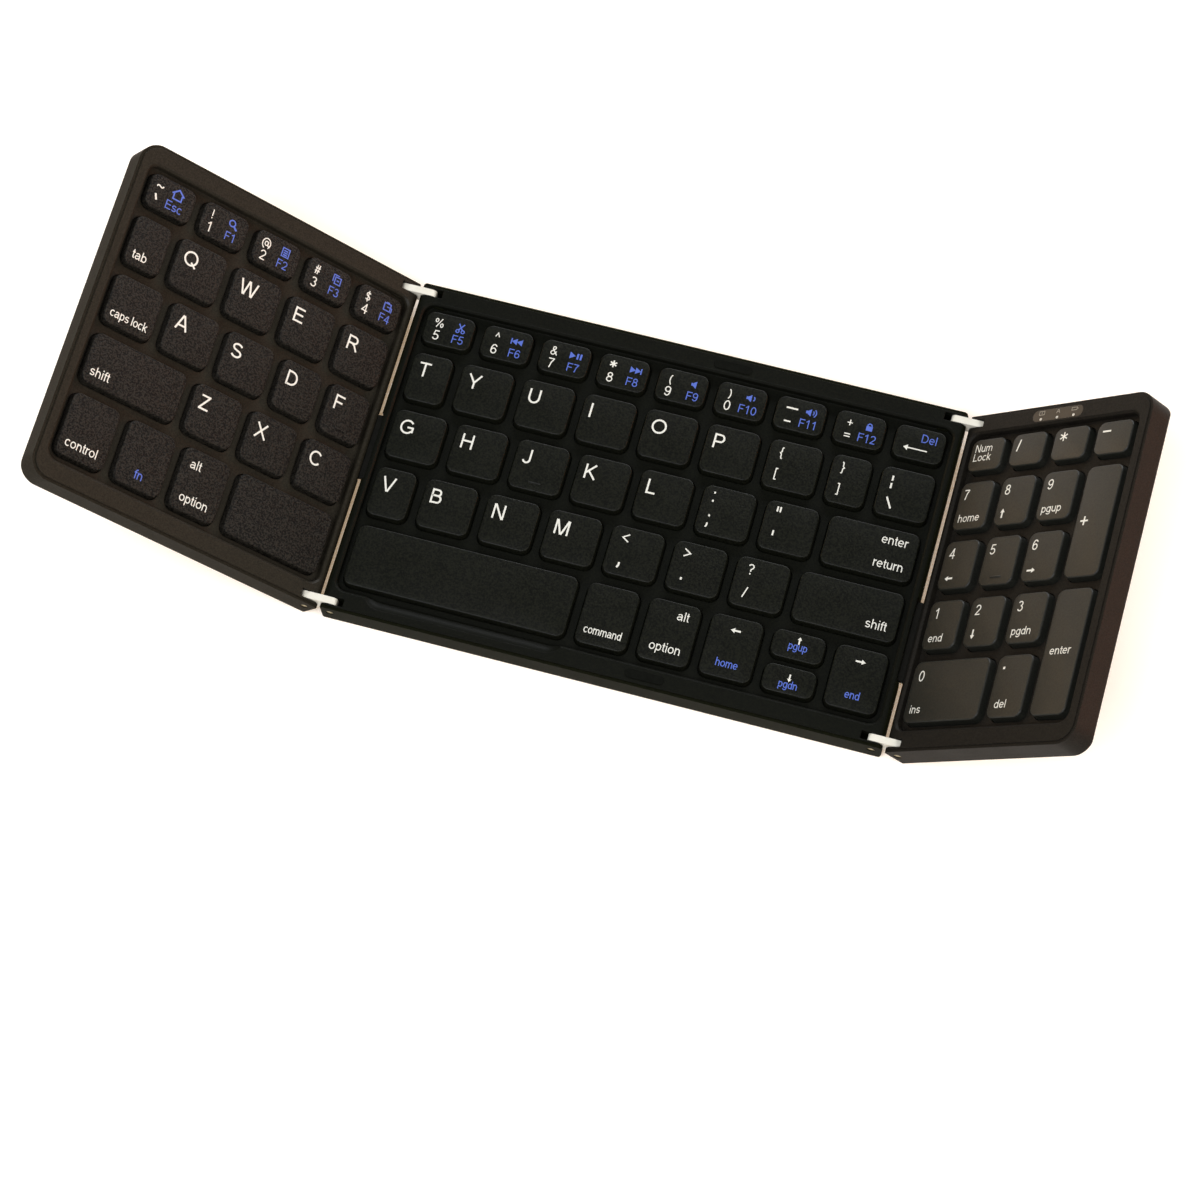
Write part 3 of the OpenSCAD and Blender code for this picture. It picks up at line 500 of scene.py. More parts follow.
# Pen strokes of each sign of a plain grotesque, in hundredths of the height of a capital: its
# width, then its strokes. The stems, bowls and shoulders that signs share come first.
near_stem, far_stem = [(16, 0), (16, 100)], [(17, 0), (17, 100)]
tall_stem, short_stem = [(14, 0), (14, 100)], [(14, 0), (14, 72.5)]
round_capital = bow(54, 50, 45, 44)
bowl_before, bowl_after = bow(37, 36, 26, 30), bow(40, 36, 26, 30)
shoulder = bow(38.5, 40, 24, 26, 180, 0) + [(62.5, 0)]
alphabet = {
    "A": (93, [(7, 0), (44.5, 100)], [(86, 0), (48.5, 100)], [(20, 30), (73, 30)]),
    "B": (93, far_stem, [(17, 93), (50, 93)] + bow(52, 73.5, 20, 19.5, 75, -75) + [(17, 54)],
          [(17, 54), (52, 54)] + bow(56, 30.5, 23.5, 23.5, 75, -75) + [(17, 7)]),
    "C": (100, bow(53, 50, 40, 43.5, 38, 322)),
    "D": (100, near_stem, [(16, 93), (40, 93)] + bow(44, 50, 41, 43, 80, -80) + [(16, 7)]),
    "E": (93, far_stem, [(17, 93), (84, 93)], [(17, 52), (79, 52)], [(17, 7), (86, 7)]),
    "F": (85, far_stem, [(17, 93), (80, 93)], [(17, 50), (70, 50)]),
    "G": (109, bow(55, 50, 42, 43.5, 38, 318) + [(95, 20)], [(95, 14), (95, 47), (57, 47)]),
    "H": (100, near_stem, [(84, 0), (84, 100)], [(16, 53), (84, 53)]),
    "I": (39, [(19.5, 0), (19.5, 100)]),
    "J": (70, [(53, 100), (53, 35)] + bow(30, 30, 23, 23.5, 0, -165)),
    "K": (93, far_stem, [(80, 100), (17, 36)], [(36, 55), (86, 0)]),
    "L": (78, near_stem, [(16, 7), (72, 7)]),
    "M": (116, near_stem, [(20, 100), (56, 0)], [(96, 100), (60, 0)], [(100, 0), (100, 100)]),
    "N": (100, near_stem, [(19, 100), (81, 0)], [(84, 0), (84, 100)]),
    "O": (109, round_capital),
    "P": (93, far_stem, [(17, 93), (50, 93)] + bow(53, 68.5, 25, 24.5, 75, -75) + [(17, 44)]),
    "Q": (109, round_capital, [(62, 27), (98, -3)]),
    "R": (100, far_stem, [(17, 93), (54, 93)] + bow(57, 70, 24, 23, 75, -75) + [(17, 47)],
          [(48, 47), (66, 36), (90, 0)]),
    "S": (93, bow(46.5, 72.5, 30, 21, 22, 235) + bow(46.5, 28.5, 33, 22, 55, -158)),
    "T": (85, [(42.7, 0), (42.7, 100)], [(3, 93), (82, 93)]),
    "U": (100, [(16, 100), (16, 42)] + bow(50, 40, 34, 33.5, 180, 360) + [(84, 100)]),
    "V": (93, [(6, 100), (44, 0)], [(87, 100), (49, 0)]),
    "W": (132, [(5, 100), (34, 0)], [(64, 100), (38, 0)], [(68, 100), (94, 0)],
          [(127, 100), (98, 0)]),
    "X": (93, [(7, 0), (83, 100)], [(10, 100), (87, 0)]),
    "Y": (93, [(5, 100), (48, 40)], [(88, 100), (45, 40)], [(46.5, 0), (46.5, 45)]),
    "Z": (85, [(10, 93), (77, 93)], [(72, 93), (12, 7)], [(6, 7), (79, 7)]),
    "0": (78, bow(39, 50, 28.5, 44)),
    "1": (78, [(44, 0), (44, 100)], [(42, 95), (30, 82), (14, 74)]),
    "2": (78, bow(38.5, 69, 27, 24.5, 170, -38) + [(14, 10)], [(7, 7), (70, 7)]),
    "3": (78, bow(36, 73.5, 24, 19.5, 160, -85), bow(36, 29.5, 28, 23, 85, -162)),
    "4": (78, [(53, 0), (53, 100)], [(52, 95), (8, 31), (74, 31)]),
    "5": (78, [(67, 93), (22, 93), (14, 48)], bow(37, 32, 28.5, 25.5, 140, -158)),
    "6": (78, bow(39.5, 32, 27, 25), bow(42, 50, 30, 44, 38, 205)),
    "7": (78, [(8, 93), (70, 93)], [(68, 93), (44, 58), (30, 0)]),
    "8": (78, bow(39, 73.5, 23, 19.5), bow(39, 29.5, 27.5, 23)),
    "9": (78, bow(38.5, 68, 27, 25), bow(36, 50, 30, 44, -142, 25)),
    "a": (78, bow(37, 46, 24, 19.5, 155, 0) + [(61, 15), (66, 0)],
          [(61, 42), (36, 38)] + bow(29, 22, 19, 16, 110, 300) + [(60, 20)]),
    "b": (78, tall_stem, bowl_after),
    "c": (70, bow(38, 36, 28, 30, 45, 315)),
    "d": (78, [(64, 0), (64, 100)], bowl_before),
    "e": (78, [(12, 37), (67, 37)], bow(39, 36, 28, 30, 2, 318)),
    "f": (39, bow(37, 79, 17, 15, 75, 180) + [(20, 0)], [(3, 66), (37, 66)]),
    "g": (78, bowl_before, [(64, 72.5), (64, 0)] + bow(37, -2, 27, 20, 0, -155)),
    "h": (78, tall_stem, shoulder),
    "i": (31, [(15.5, 0), (15.5, 72.5)], [(15.5, 87), (15.5, 100)]),
    "k": (70, tall_stem, [(60, 72.5), (14, 28)], [(28, 42), (65, 0)]),
    "l": (31, [(15.5, 0), (15.5, 100)]),
    "m": (116, short_stem, bow(35.5, 44, 21.5, 22, 180, 0) + [(57, 0)],
          bow(79, 44, 22.5, 22, 180, 0) + [(101.5, 0)]),
    "n": (78, short_stem, shoulder),
    "o": (78, bow(39, 36, 28.5, 30)),
    "p": (78, [(14, -28), (14, 72.5)], bowl_after),
    "r": (47, short_stem, bow(38, 40, 24, 26, 180, 70)),
    "s": (70, bow(34.5, 50.5, 22, 15.5, 25, 240) + bow(34.5, 21, 23.5, 15, 55, -158)),
    "t": (39, [(19, 93), (19, 20)] + bow(33, 18, 14, 12, 190, 285), [(3, 66), (36, 66)]),
    "u": (78, [(14, 72.5), (14, 34)] + bow(38.5, 32, 24.5, 26, 180, 330), [(64, 0), (64, 72.5)]),
    "!": (39, [(20, 28), (20, 100)], [(20, 0), (20, 14)]),
    "@": (130, bow(65, 40, 20, 23), bow(65, 38, 53, 56, -55, 250),
          [(90, 62), (86, 20), (100, 12), (116, 30)]),
    "#": (80, [(16, 0), (34, 100)], [(44, 0), (62, 100)], [(5, 33), (70, 33)],
          [(8, 66), (73, 66)]),
    "$": (80, bow(39, 70, 24, 20, 22, 235) + bow(39, 30, 26, 20, 55, -158),
          [(39, -10), (39, 110)]),
    "%": (120, bow(25, 75, 15, 20), bow(95, 25, 15, 20), [(32, 0), (88, 100)]),
    "^": (66, [(10, 50), (33, 95), (56, 50)]),
    "&": (93, [(86, 2), (27, 66)] + bow(42, 79, 17, 14.5, 195, -35)
          + bow(34, 26, 25, 20, 125, 300) + [(74, 44)]),
    "(": (46, bow(62, 38, 47, 65, 125, 235)),
    "+": (80, [(8, 42), (72, 42)], [(40, 10), (40, 74)]),
    "=": (80, [(8, 30), (72, 30)], [(8, 56), (72, 56)]),
    "{": (46, [(42, 95), (30, 93), (26, 82), (25, 50), (10, 38),
               (25, 26), (26, -6), (30, -17), (42, -19)]),
    "[": (46, [(40, 95), (18, 95), (18, -19), (40, -19)]),
    ":": (39, [(20, 0), (20, 14)], [(20, 58), (20, 72)]),
    ";": (39, [(20, 14), (20, 0), (13, -17)], [(20, 58), (20, 72)]),
    '"': (50, [(14, 64), (14, 100)], [(36, 64), (36, 100)]),
    "'": (27, [(13.5, 64), (13.5, 100)]),
    "<": (80, [(70, 74), (12, 42), (70, 10)]),
    ",": (39, [(20, 14), (20, -2), (12, -18)]),
    ".": (39, [(20, 0), (20, 14)]),
    "?": (78, bow(38, 73, 24, 20, 165, -50) + [(39, 44), (38, 28)], [(38, 0), (38, 14)]),
    "/": (40, [(2, 0), (38, 100)]),
    "~": (80, [(6, 32), (13, 44), (24, 47), (40, 40), (54, 33), (66, 36), (74, 48)]),
    " ": (30,),
}
for opening, closing in ("()", "{}", "[]", "<>"):
    width, stroke = alphabet[opening]
    alphabet[closing] = (width, [(width - px, py) for px, py in stroke])
word_pen = 10.5
letter_pen = 12


def printed(words, x, y, size=word_mm, align="left", squeeze=word_squeeze, pen=word_pen,
            colour="white"):
    """Print of a word: its foot lies y mm below the cap's rear edge, and its left, middle or
    right at x."""
    polygons = []
    reached = 0.0
    for sign in words:
        width, *strokes = alphabet[sign]
        for stroke in strokes:
            polygons += line([(reached + px * squeeze, py) for px, py in stroke], pen)
        reached += width * squeeze
    across = [px for polygon in polygons for px, _ in polygon] or [0]
    low, high = min(across), max(across)
    shift = {"left": low, "middle": (low + high) / 2, "right": high}[align]
    scale = size / 100
    return {colour: [[(x + (px - shift) * scale, -y + py * scale) for px, py in polygon]
                     for polygon in polygons]}


def joined(*prints):
    """Several prints on one cap."""
    total = {"white": [], "blue": []}
    for one in prints:
        for colour, polygons in one.items():
            total[colour] += polygons
    return total


def moved(polygons, x, y, turn_deg=0, scale=1.0):
    """Polygons turned and scaled about their origin, which goes to x, and y below the edge."""
    c, s = (scale * f(math.radians(turn_deg)) for f in (math.cos, math.sin))
    return [[(x + px * c - py * s, -y + px * s + py * c) for px, py in polygon]
            for polygon in polygons]


def arrow(x, y, turn_deg, length=2.8, width=0.5, head=1.5):
    """Arrow that points right before it is turned."""
    neck = length / 2 - head * 0.75
    shaft = rectangle(-length / 2, -width / 2, neck, width / 2)
    tip = [(neck, -head / 2), (length / 2, 0), (neck, head / 2)]
    return {"white": moved([shaft, tip], x, y, turn_deg)}


def star(x, y, reach, width=0.4):
    """Asterisk with six arms."""
    arms = [line([(-reach * c, -reach * s), (reach * c, reach * s)], width)
            for c, s in ((0, 1), (0.87, 0.5), (0.87, -0.5))]
    return {"white": moved(sum(arms, []), x, y)}


def triangle(x, side=2.2, turn=1):
    return [(x, -side / 2), (x + turn * side * 0.8, 0), (x, side / 2)]


speaker = [rectangle(-1.3, -0.45, -0.6, 0.45),
           [(-0.75, -0.45), (0.35, -1.25), (0.35, 1.25), (-0.75, 0.45)]]
icons = {
    "home": line([(-1.7, 0.1), (0, 1.5), (1.7, 0.1)])
            + line([(-1.15, 0.3), (-1.15, -1.25), (1.15, -1.25), (1.15, 0.3)], 0.38),
    "search": arc(-0.4, 0.4, 1.0, 0, 360) + line([(0.45, -0.4), (1.5, -1.4)], 0.62),
    "all": line(rectangle(-1.2, -1.4, 1.2, 1.4), 0.36, True) + line([(-0.7, 0.6), (0.7, 0.6)])
           + line([(-0.7, -0.1), (0.7, -0.1)]) + line([(-0.7, -0.8), (0.7, -0.8)]),
    "copy": line([(-1.4, -0.9), (-1.4, 1.5), (0.5, 1.5)], 0.36)
            + line(rectangle(-0.7, -1.4, 1.3, 0.9), 0.36, True)
            + line([(-0.1, -0.2), (0.8, -0.2)], 0.4),
    "paste": line(rectangle(-1.3, -1.3, 1.0, 1.1), 0.36, True)
             + line([(-0.7, 1.25), (0.4, 1.25)], 0.62)
             + line([(-0.2, 0.0), (1.5, 0.0), (1.5, -1.5)], 0.34),
    "cut": line([(-0.9, 1.5), (0.65, -0.7)], 0.4) + line([(0.9, 1.5), (-0.65, -0.7)], 0.4)
           + arc(-0.85, -1.1, 0.5, 0, 360, 0.34) + arc(0.85, -1.1, 0.5, 0, 360, 0.34),
    "back": [triangle(-0.1, turn=-1), triangle(1.6, turn=-1)]
            + line([(-1.95, -1.0), (-1.95, 1.0)], 0.4),
    "play": [triangle(-2.0, 2.3)] + line([(0.55, -1.0), (0.55, 1.0)], 0.6)
            + line([(1.6, -1.0), (1.6, 1.0)], 0.6),
    "forward": [triangle(-1.6), triangle(0.1)] + line([(1.95, -1.0), (1.95, 1.0)], 0.4),
    "mute": speaker,
    "quieter": speaker + arc(0.4, 0, 0.95, -48, 48, 0.36),
    "louder": speaker + arc(0.4, 0, 0.85, -48, 48, 0.34) + arc(0.4, 0, 1.6, -50, 50, 0.34),
    "lock": [rectangle(-1.0, -1.4, 1.0, 0.2)] + arc(0, 0.35, 0.65, 0, 180, 0.38)
            + line([(-0.65, 0.1), (-0.65, 0.4)], 0.38) + line([(0.65, 0.1), (0.65, 0.4)], 0.38),
}


def letters(characters):
    return [printed(character, *letter_corner_mm, letter_mm, squeeze=wide_squeeze, pen=letter_pen)
            for character in characters]


def pair(upper, lower, x, upper_y, lower_y, size, lower_size=None):
    """Two signs one above the other, with their middles at x."""
    return joined(printed(upper, x, upper_y, size, "middle"),
                  printed(lower, x, lower_y, lower_size or size, "middle"))


def number(upper, lower, x, icon, function, icon_x):
    """Number-row legend: a sign over a digit in white, an icon over a function name in blue."""
    return joined(printed(upper, x, sign_foot_mm, sign_mm, "middle"),
                  printed(lower, x, digit_foot_mm, digit_mm, "middle"),
                  {"blue": moved(icons[icon], icon_x, icon_foot_mm, 0, icon_scale)},
                  printed(function, icon_x, function_foot_mm, function_mm, "middle",
                          colour="blue"))


def cap_width(name, place=0):
    """Width of a cap's top before its round, in mm."""
    low, high = caps[name][place]
    return high.x - low.x - 2 * cap_draft_mm


def arrow_key(name, y, turn_deg, words, words_y, size=2.4, arrow_mm=()):
    """A white arrow over a blue word, both in the middle of the cap."""
    x = cap_width(name) / 2
    return joined(arrow(x, y, turn_deg, *arrow_mm),
                  printed(words, x, words_y, size, "middle", blue_squeeze, blue_pen, "blue"))


def pad_word(words, x, y, size=2.4):
    return printed(words, x, y, size, squeeze=wide_squeeze)


def pad_digit(digit, x, *below):
    """A digit of the number pad, with a word or an arrow below it."""
    return joined(printed(digit, x, pad_digit_foot_mm, pad_digit_mm, "middle"), *below)


delete_right = cap_width("centre_number_keys", 8) - 2.5
enter_right = cap_width("return_key")
option_width = cap_width("centre_modifier_keys", 1)
small_arrow_mm = (2.2, 0.42, 1.2)
legends = {
    "left_number_keys": [
        joined(printed("~", 3.1, 4.6, 3.4, "middle"),
               {"white": line([(2.4, -5.7), (3.15, -7.4)], 0.55),
                "blue": moved(icons["home"], 8.8, 3.3, 0, 1.1)},
               printed("Esc", 8.6, 8.3, 2.7, "middle", colour="blue")),
        number("!", "1", 2.8, "search", "F1", 9.5), number("@", "2", 3.3, "all", "F2", 9.6),
        number("#", "3", 3.1, "copy", "F3", 9.7), number("$", "4", 3.1, "paste", "F4", 9.8)],
    "tab_key": [printed("tab", 1.95, 12.6)],
    "left_top_letter_keys": letters("QWER"),
    "caps_lock_key": [printed("caps lock", 1.65, 12.5, 2.6, squeeze=0.77)],
    "left_home_letter_keys": letters("ASDF"),
    "left_shift_key": [printed("shift", 1.95, 12.3)],
    "left_lower_letter_keys": letters("ZXC"),
    "left_modifier_keys": [
        printed("control", 1.95, 15.4), printed("fn", 7.0, 15.4, align="middle", colour="blue"),
        joined(printed("alt", 2.6, 5.6), printed("option", 2.5, 15.4))],
    "left_space_key": [{}],
    "centre_number_keys": [
        number("%", "5", 3.9, "cut", "F5", 10.3), number("^", "6", 3.9, "back", "F6", 9.9),
        number("&", "7", 3.6, "play", "F7", 10.0),
        joined(star(3.7, 2.9, 1.05), number(" ", "8", 3.7, "forward", "F8", 10.2)),
        number("(", "9", 3.5, "mute", "F9", 10.6), number(")", "0", 3.6, "quieter", "F10", 9.5),
        joined({"white": line([(2.8, -3.3), (6.1, -3.3)], 0.5)
                + line([(3.0, -7.4), (4.9, -7.4)], 0.45)},
               number(" ", " ", 0, "louder", "F11", 9.6)),
        number("+", "=", 4.0, "lock", "F12", 9.6),
        joined(printed("Del", delete_right, 4.25, function_mm, "right", colour="blue"),
               arrow(6.2, 6.6, 180, 6.8, 0.36, 1.7))],
    "centre_top_letter_keys": letters("TYUIOP") + [
        pair("{", "[", 3.5, 5.0, 11.5, 2.9), pair("}", "]", 3.3, 5.0, 11.5, 2.9),
        {"white": line([(3.2, -2.6), (3.2, -4.2)], 0.5) + line([(3.2, -4.9), (3.2, -6.5)], 0.5)
                  + line([(2.9, -9.2), (4.6, -12.4)], 0.5)}],
    "centre_home_letter_keys": letters("GHJKL") + [
        pair(":", ";", 3.1, 4.9, 11.9, 4.3), pair('"', "'", 3.6, 6.0, 13.2, 4.4)],
    "return_key": [joined(printed("enter", enter_right - 2.9, 4.7, align="right"),
                          printed("return", enter_right - 2.8, 11.95, align="right"))],
    "centre_lower_letter_keys": letters("VBNM") + [
        pair("<", ",", 4.1, 4.8, 11.5, 3.5, 5.2), pair(">", ".", 4.0, 4.8, 11.4, 3.5, 5.2),
        pair("?", "/", 4.1, 5.1, 12.0, 3.2)],
    "right_shift_key": [printed("shift", cap_width("right_shift_key") - 2.9, 11.8, align="right")],
    "space_bar": [{}],
    "centre_modifier_keys": [
        printed("command", cap_width("centre_modifier_keys") / 2, 14.95, 2.45, "middle", 0.72, 10),
        joined(printed("alt", option_width - 2.9, 5.0, align="right"),
               printed("option", option_width / 2, 14.95, align="middle"))],
    "arrow_left_key": [arrow_key("arrow_left_key", 3.9, 180, "home", 14.9)],
    "arrow_up_key": [arrow_key("arrow_up_key", 2.3, 90, "pgup", 5.2, 2.3, small_arrow_mm)],
    "arrow_down_key": [arrow_key("arrow_down_key", 3.3, -90, "pgdn", 6.3, 2.3, small_arrow_mm)],
    "arrow_right_key": [arrow_key("arrow_right_key", 3.9, 0, "end", 14.9)],
    "num_lock_key": [joined(pad_word("Num", 1.6, 4.0, 2.35), pad_word("Lock", 1.6, 6.8, 2.35))],
    "pad_operator_keys": [
        {"white": line([(2.1, -5.3), (2.95, -1.8)])}, star(3.3, 2.7, 1.35, 0.38),
        {"white": line([(1.9, -2.9), (4.7, -2.9)], 0.5)}],
    "pad_upper_digit_keys": [
        pad_digit("7", 2.6, pad_word("home", 1.75, 12.3)),
        pad_digit("8", 2.6, arrow(2.65, 11.0, 90)),
        pad_digit("9", 2.8, pad_word("pgup", 1.8, 12.3))],
    "pad_middle_digit_keys": [
        pad_digit("4", 2.9, arrow(3.8, 11.4, 180)), pad_digit("5", 2.7),
        pad_digit("6", 2.7, arrow(3.3, 11.4, 0))],
    "pad_lower_digit_keys": [
        pad_digit("1", 2.9, pad_word("end", 2.1, 12.4)),
        pad_digit("2", 2.9, arrow(3.0, 11.0, -90)),
        pad_digit("3", 2.9, pad_word("pgdn", 1.9, 12.3))],
    "pad_plus_key": [{"white": line([(1.6, -16.2), (4.2, -16.2)], 0.5)
                               + line([(2.9, -14.9), (2.9, -17.5)], 0.5)}],
    "pad_enter_key": [pad_word("enter", 2.1, 18.9)],
    "pad_zero_key": [joined(printed("0", 3.3, 6.0, 3.25, "middle"), pad_word("ins", 2.15, 15.4))],
    "pad_point_key": [joined({"white": line([(2.2, -3.7), (2.9, -3.7)], 0.7)},
                             pad_word("del", 2.25, 15.3))],
}


ink_patch_mm = 0.3
ink_roughness = 0.5


def ink(name, colour):
    """Pad-printing ink: a thin opaque film, a little smoother than the coat under it."""
    material, tree, place = new_material(name)
    film = add(tree, "ShaderNodeTexNoise", {
        "Vector": place, "Scale": 1 / (ink_patch_mm * MM), "Detail": 2.0})
    cover = add(tree, "ShaderNodeMapRange", {
        "Value": film.outputs["Fac"], "To Min": 0.9, "To Max": 1.08})
    tint = add(tree, "ShaderNodeHueSaturation", {
        "Color": srgb(colour), "Value": cover.outputs["Result"]})
    shader = add(tree, "ShaderNodeBsdfPrincipled", {
        "Base Color": tint.outputs["Color"], "Roughness": ink_roughness, "IOR": 1.5})
    add(tree, "ShaderNodeOutputMaterial", {"Surface": shader.outputs[0]})
    return material


def raise_ink(shape):
    """Turns flat printed polygons into a film of ink with its own thickness."""
    shape.normal_update()
    for face in [f for f in shape.faces if f.normal.z < 0]:
        face.normal_flip()
    raised = bmesh.ops.extrude_face_region(shape, geom=list(shape.faces), use_keep_orig=True)
    bmesh.ops.translate(shape, vec=(0, 0, ink_mm),
                        verts=[v for v in raised["geom"] if isinstance(v, bmesh.types.BMVert)])
    bmesh.ops.recalc_face_normals(shape, faces=shape.faces)


inks = {"white": ink("white_pad_print", "#D6D4CA"), "blue": ink("blue_pad_print", "#4A62B8")}
for panel, place, *_ in panels:
    for name in keys_on(panel):
        for colour, print_ink in inks.items():
            shape = bmesh.new()
            for (low, high), legend in zip(caps[name], legends[name]):
                for i, polygon in enumerate(legend.get(colour, ())):
                    z = high.z - ink_sunk_mm - i % ink_layers * ink_layer_mm
                    shape.faces.new([shape.verts.new((
                        low.x + cap_draft_mm + x, high.y - cap_draft_mm + y, z))
                        for x, y in polygon])
            if not shape.faces:
                shape.free()
                continue
            raise_ink(shape)
            print_name = f"{name}_{colour}_print"
            piece = mesh_object(print_name, finish_mesh(print_name, shape, place), print_ink)
            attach(piece, name)


# --- Hinge links and pins -----------------------------------------------------------------------
# Four short die-cast links in an off-white satin paint join the panels. Each turns on two steel
# pins, whose flat turned heads show in the panels' front and rear walls.
orange_peel_mm, orange_peel_depth_mm = 0.6, 0.01
grime_mm = 3
link_edge_mm = 0.2
tool_mark_depth_mm = 0.005

link_paint, tree, place = new_material("off_white_satin_paint")
orange_peel = add(tree, "ShaderNodeTexNoise", {
    "Vector": place, "Scale": 1 / (orange_peel_mm * MM), "Detail": 2.0})
grime = add(tree, "ShaderNodeTexNoise", {
    "Vector": place, "Scale": 1 / (grime_mm * MM), "Detail": 3.0})
paint_colour = add(tree, "ShaderNodeMix", {
    "Factor": grime.outputs["Fac"], 6: srgb("#CFCBBB"), 7: srgb("#E4E1D6")}, data_type="RGBA")
paint_edge = add(tree, "ShaderNodeBevel", {"Radius": link_edge_mm * MM}, samples=4)
paint_bump = add(tree, "ShaderNodeBump", {
    "Height": orange_peel.outputs["Fac"], "Strength": 0.4,
    "Distance": orange_peel_depth_mm * MM, "Normal": paint_edge.outputs["Normal"]})
paint_shader = add(tree, "ShaderNodeBsdfPrincipled", {
    "Base Color": paint_colour.outputs[2], "Roughness": 0.38, "IOR": 1.5,
    "Normal": paint_bump.outputs["Normal"]})
add(tree, "ShaderNodeOutputMaterial", {"Surface": paint_shader.outputs[0]})
dress(link_paint, "links")


def plain_metal(name, colour, roughness, streak_mm, stretch=(1, 1, 1)):
    """Bare, blackened or anodised metal, with fine tool marks drawn out along one direction."""
    material, tree, place = new_material(name)
    along = add(tree, "ShaderNodeMapping", {"Vector": place, "Scale": stretch})
    marks = add(tree, "ShaderNodeTexNoise", {
        "Vector": along.outputs["Vector"], "Scale": 1 / (streak_mm * MM), "Detail": 3.0})
    rough = add(tree, "ShaderNodeMapRange", {
        "Value": marks.outputs["Fac"], "To Min": roughness - 0.08, "To Max": roughness + 0.1})
    scored = add(tree, "ShaderNodeBump", {
        "Height": marks.outputs["Fac"], "Strength": 0.3,
        "Distance": tool_mark_depth_mm * MM})
    shader = add(tree, "ShaderNodeBsdfPrincipled", {
        "Base Color": srgb(colour), "Metallic": 1.0, "Roughness": rough.outputs["Result"],
        "Normal": scored.outputs["Normal"]})
    add(tree, "ShaderNodeOutputMaterial", {"Surface": shader.outputs[0]})
    return material


dress(plain_metal("turned_steel", "#C2B697", 0.35, 0.3), "hinge_pins")


# --- Inner parts and screws ---------------------------------------------------------------------
# A stamped key plate under the keys of each panel, blackened screws from below, and in the middle
# panel a foil cell, a green circuit board and a drawn steel charging socket.
dress(plain_metal("blackened_screw_steel", "#3A3A3C", 0.4, 0.4), "screws")
# The plate's near-black colour is partly painted shade: it keeps the hinge notches and the key
# gaps dark.
dress(plain_metal("anodised_stamped_sheet_dark_as_painted_shade", "#2B2B2C", 0.5, 0.5, (0.1, 1, 1)), "key_plate")
dress(plain_metal("drawn_port_shell", "#C6C6C4", 0.28, 0.4, (1, 0.1, 1)), "charging_port")
dress(plain_metal("aluminium_cell_foil", "#B5BABF", 0.35, 2.0), "battery")
dress(grained_plastic("green_solder_mask", "#12361F", "#1B4A2C", 0.8, 0.004, 0.3, 0.05),
      "circuit_board")


# --- Rubber parts -------------------------------------------------------------------------------
# Feet and bumpers are die-cut silicone rubber, matt and a little dusty. The dome sheets under the
# keys are pressed from silicone whose dark grey is partly painted shade in the key gaps.
dust_mm = 1.2
skin_depth_mm = 0.02


def rubber(name, colour, dust_colour, roughness, specular):
    """Silicone rubber: even and dull, with a breath of dust."""
    material, tree, place = new_material(name)
    dust = add(tree, "ShaderNodeTexNoise", {
        "Vector": place, "Scale": 1 / (dust_mm * MM), "Detail": 4.0, "Roughness": 0.7})
    amount = add(tree, "ShaderNodeMapRange", {
        "Value": dust.outputs["Fac"], "From Min": 0.35, "From Max": 0.8})
    colours = add(tree, "ShaderNodeMix", {
        "Factor": amount.outputs["Result"], 6: srgb(colour), 7: srgb(dust_colour)},
        data_type="RGBA")
    skin = add(tree, "ShaderNodeBump", {
        "Height": dust.outputs["Fac"], "Strength": 0.3, "Distance": skin_depth_mm * MM})
    shader = add(tree, "ShaderNodeBsdfPrincipled", {
        "Base Color": colours.outputs[2], "Roughness": roughness, "IOR": 1.43,
        "Specular IOR Level": specular, "Normal": skin.outputs["Normal"]})
    add(tree, "ShaderNodeOutputMaterial", {"Surface": shader.outputs[0]})
    return material


dress(rubber("die_cut_black_rubber", "#080906", "#0F100C", 0.75, 0.06), "feet", "bumpers")
# The dome sheet's dark grey partly paints the shade in the gaps between the keys.
dress(rubber("dark_dome_silicone_and_painted_shade", "#1C1C1B", "#262625", 0.5, 0.1), "dome_sheet")


# --- Cable sleeves ------------------------------------------------------------------------------
# A soft rubber sleeve carries the flat cable across each hinge. It is a low arch from a notch in
# the middle panel's edge to a notch in the wing's.
sleeve_thick_mm = 1.3
sleeve_bite_mm = 0.8  # how far an end reaches into its notch
sleeve_rise_mm = 0.6  # height of the ends above the pins
sleeve_arch_mm = 0.45  # height of the crown above the ends
half_arch_mm = 0.12  # lift of the middle of each half
sleeve_edge_mm = 0.9  # width over which the front and rear edges thin out
sleeve_edge_share = 0.45  # share of the thickness that the very edge keeps
sleeve_crease_deg = 50
arch_steps = 8
width_steps = 10
sleeve_rubber = rubber("soft_sleeve_rubber", "#0D0D0A", "#171612", 0.65, 0.08)


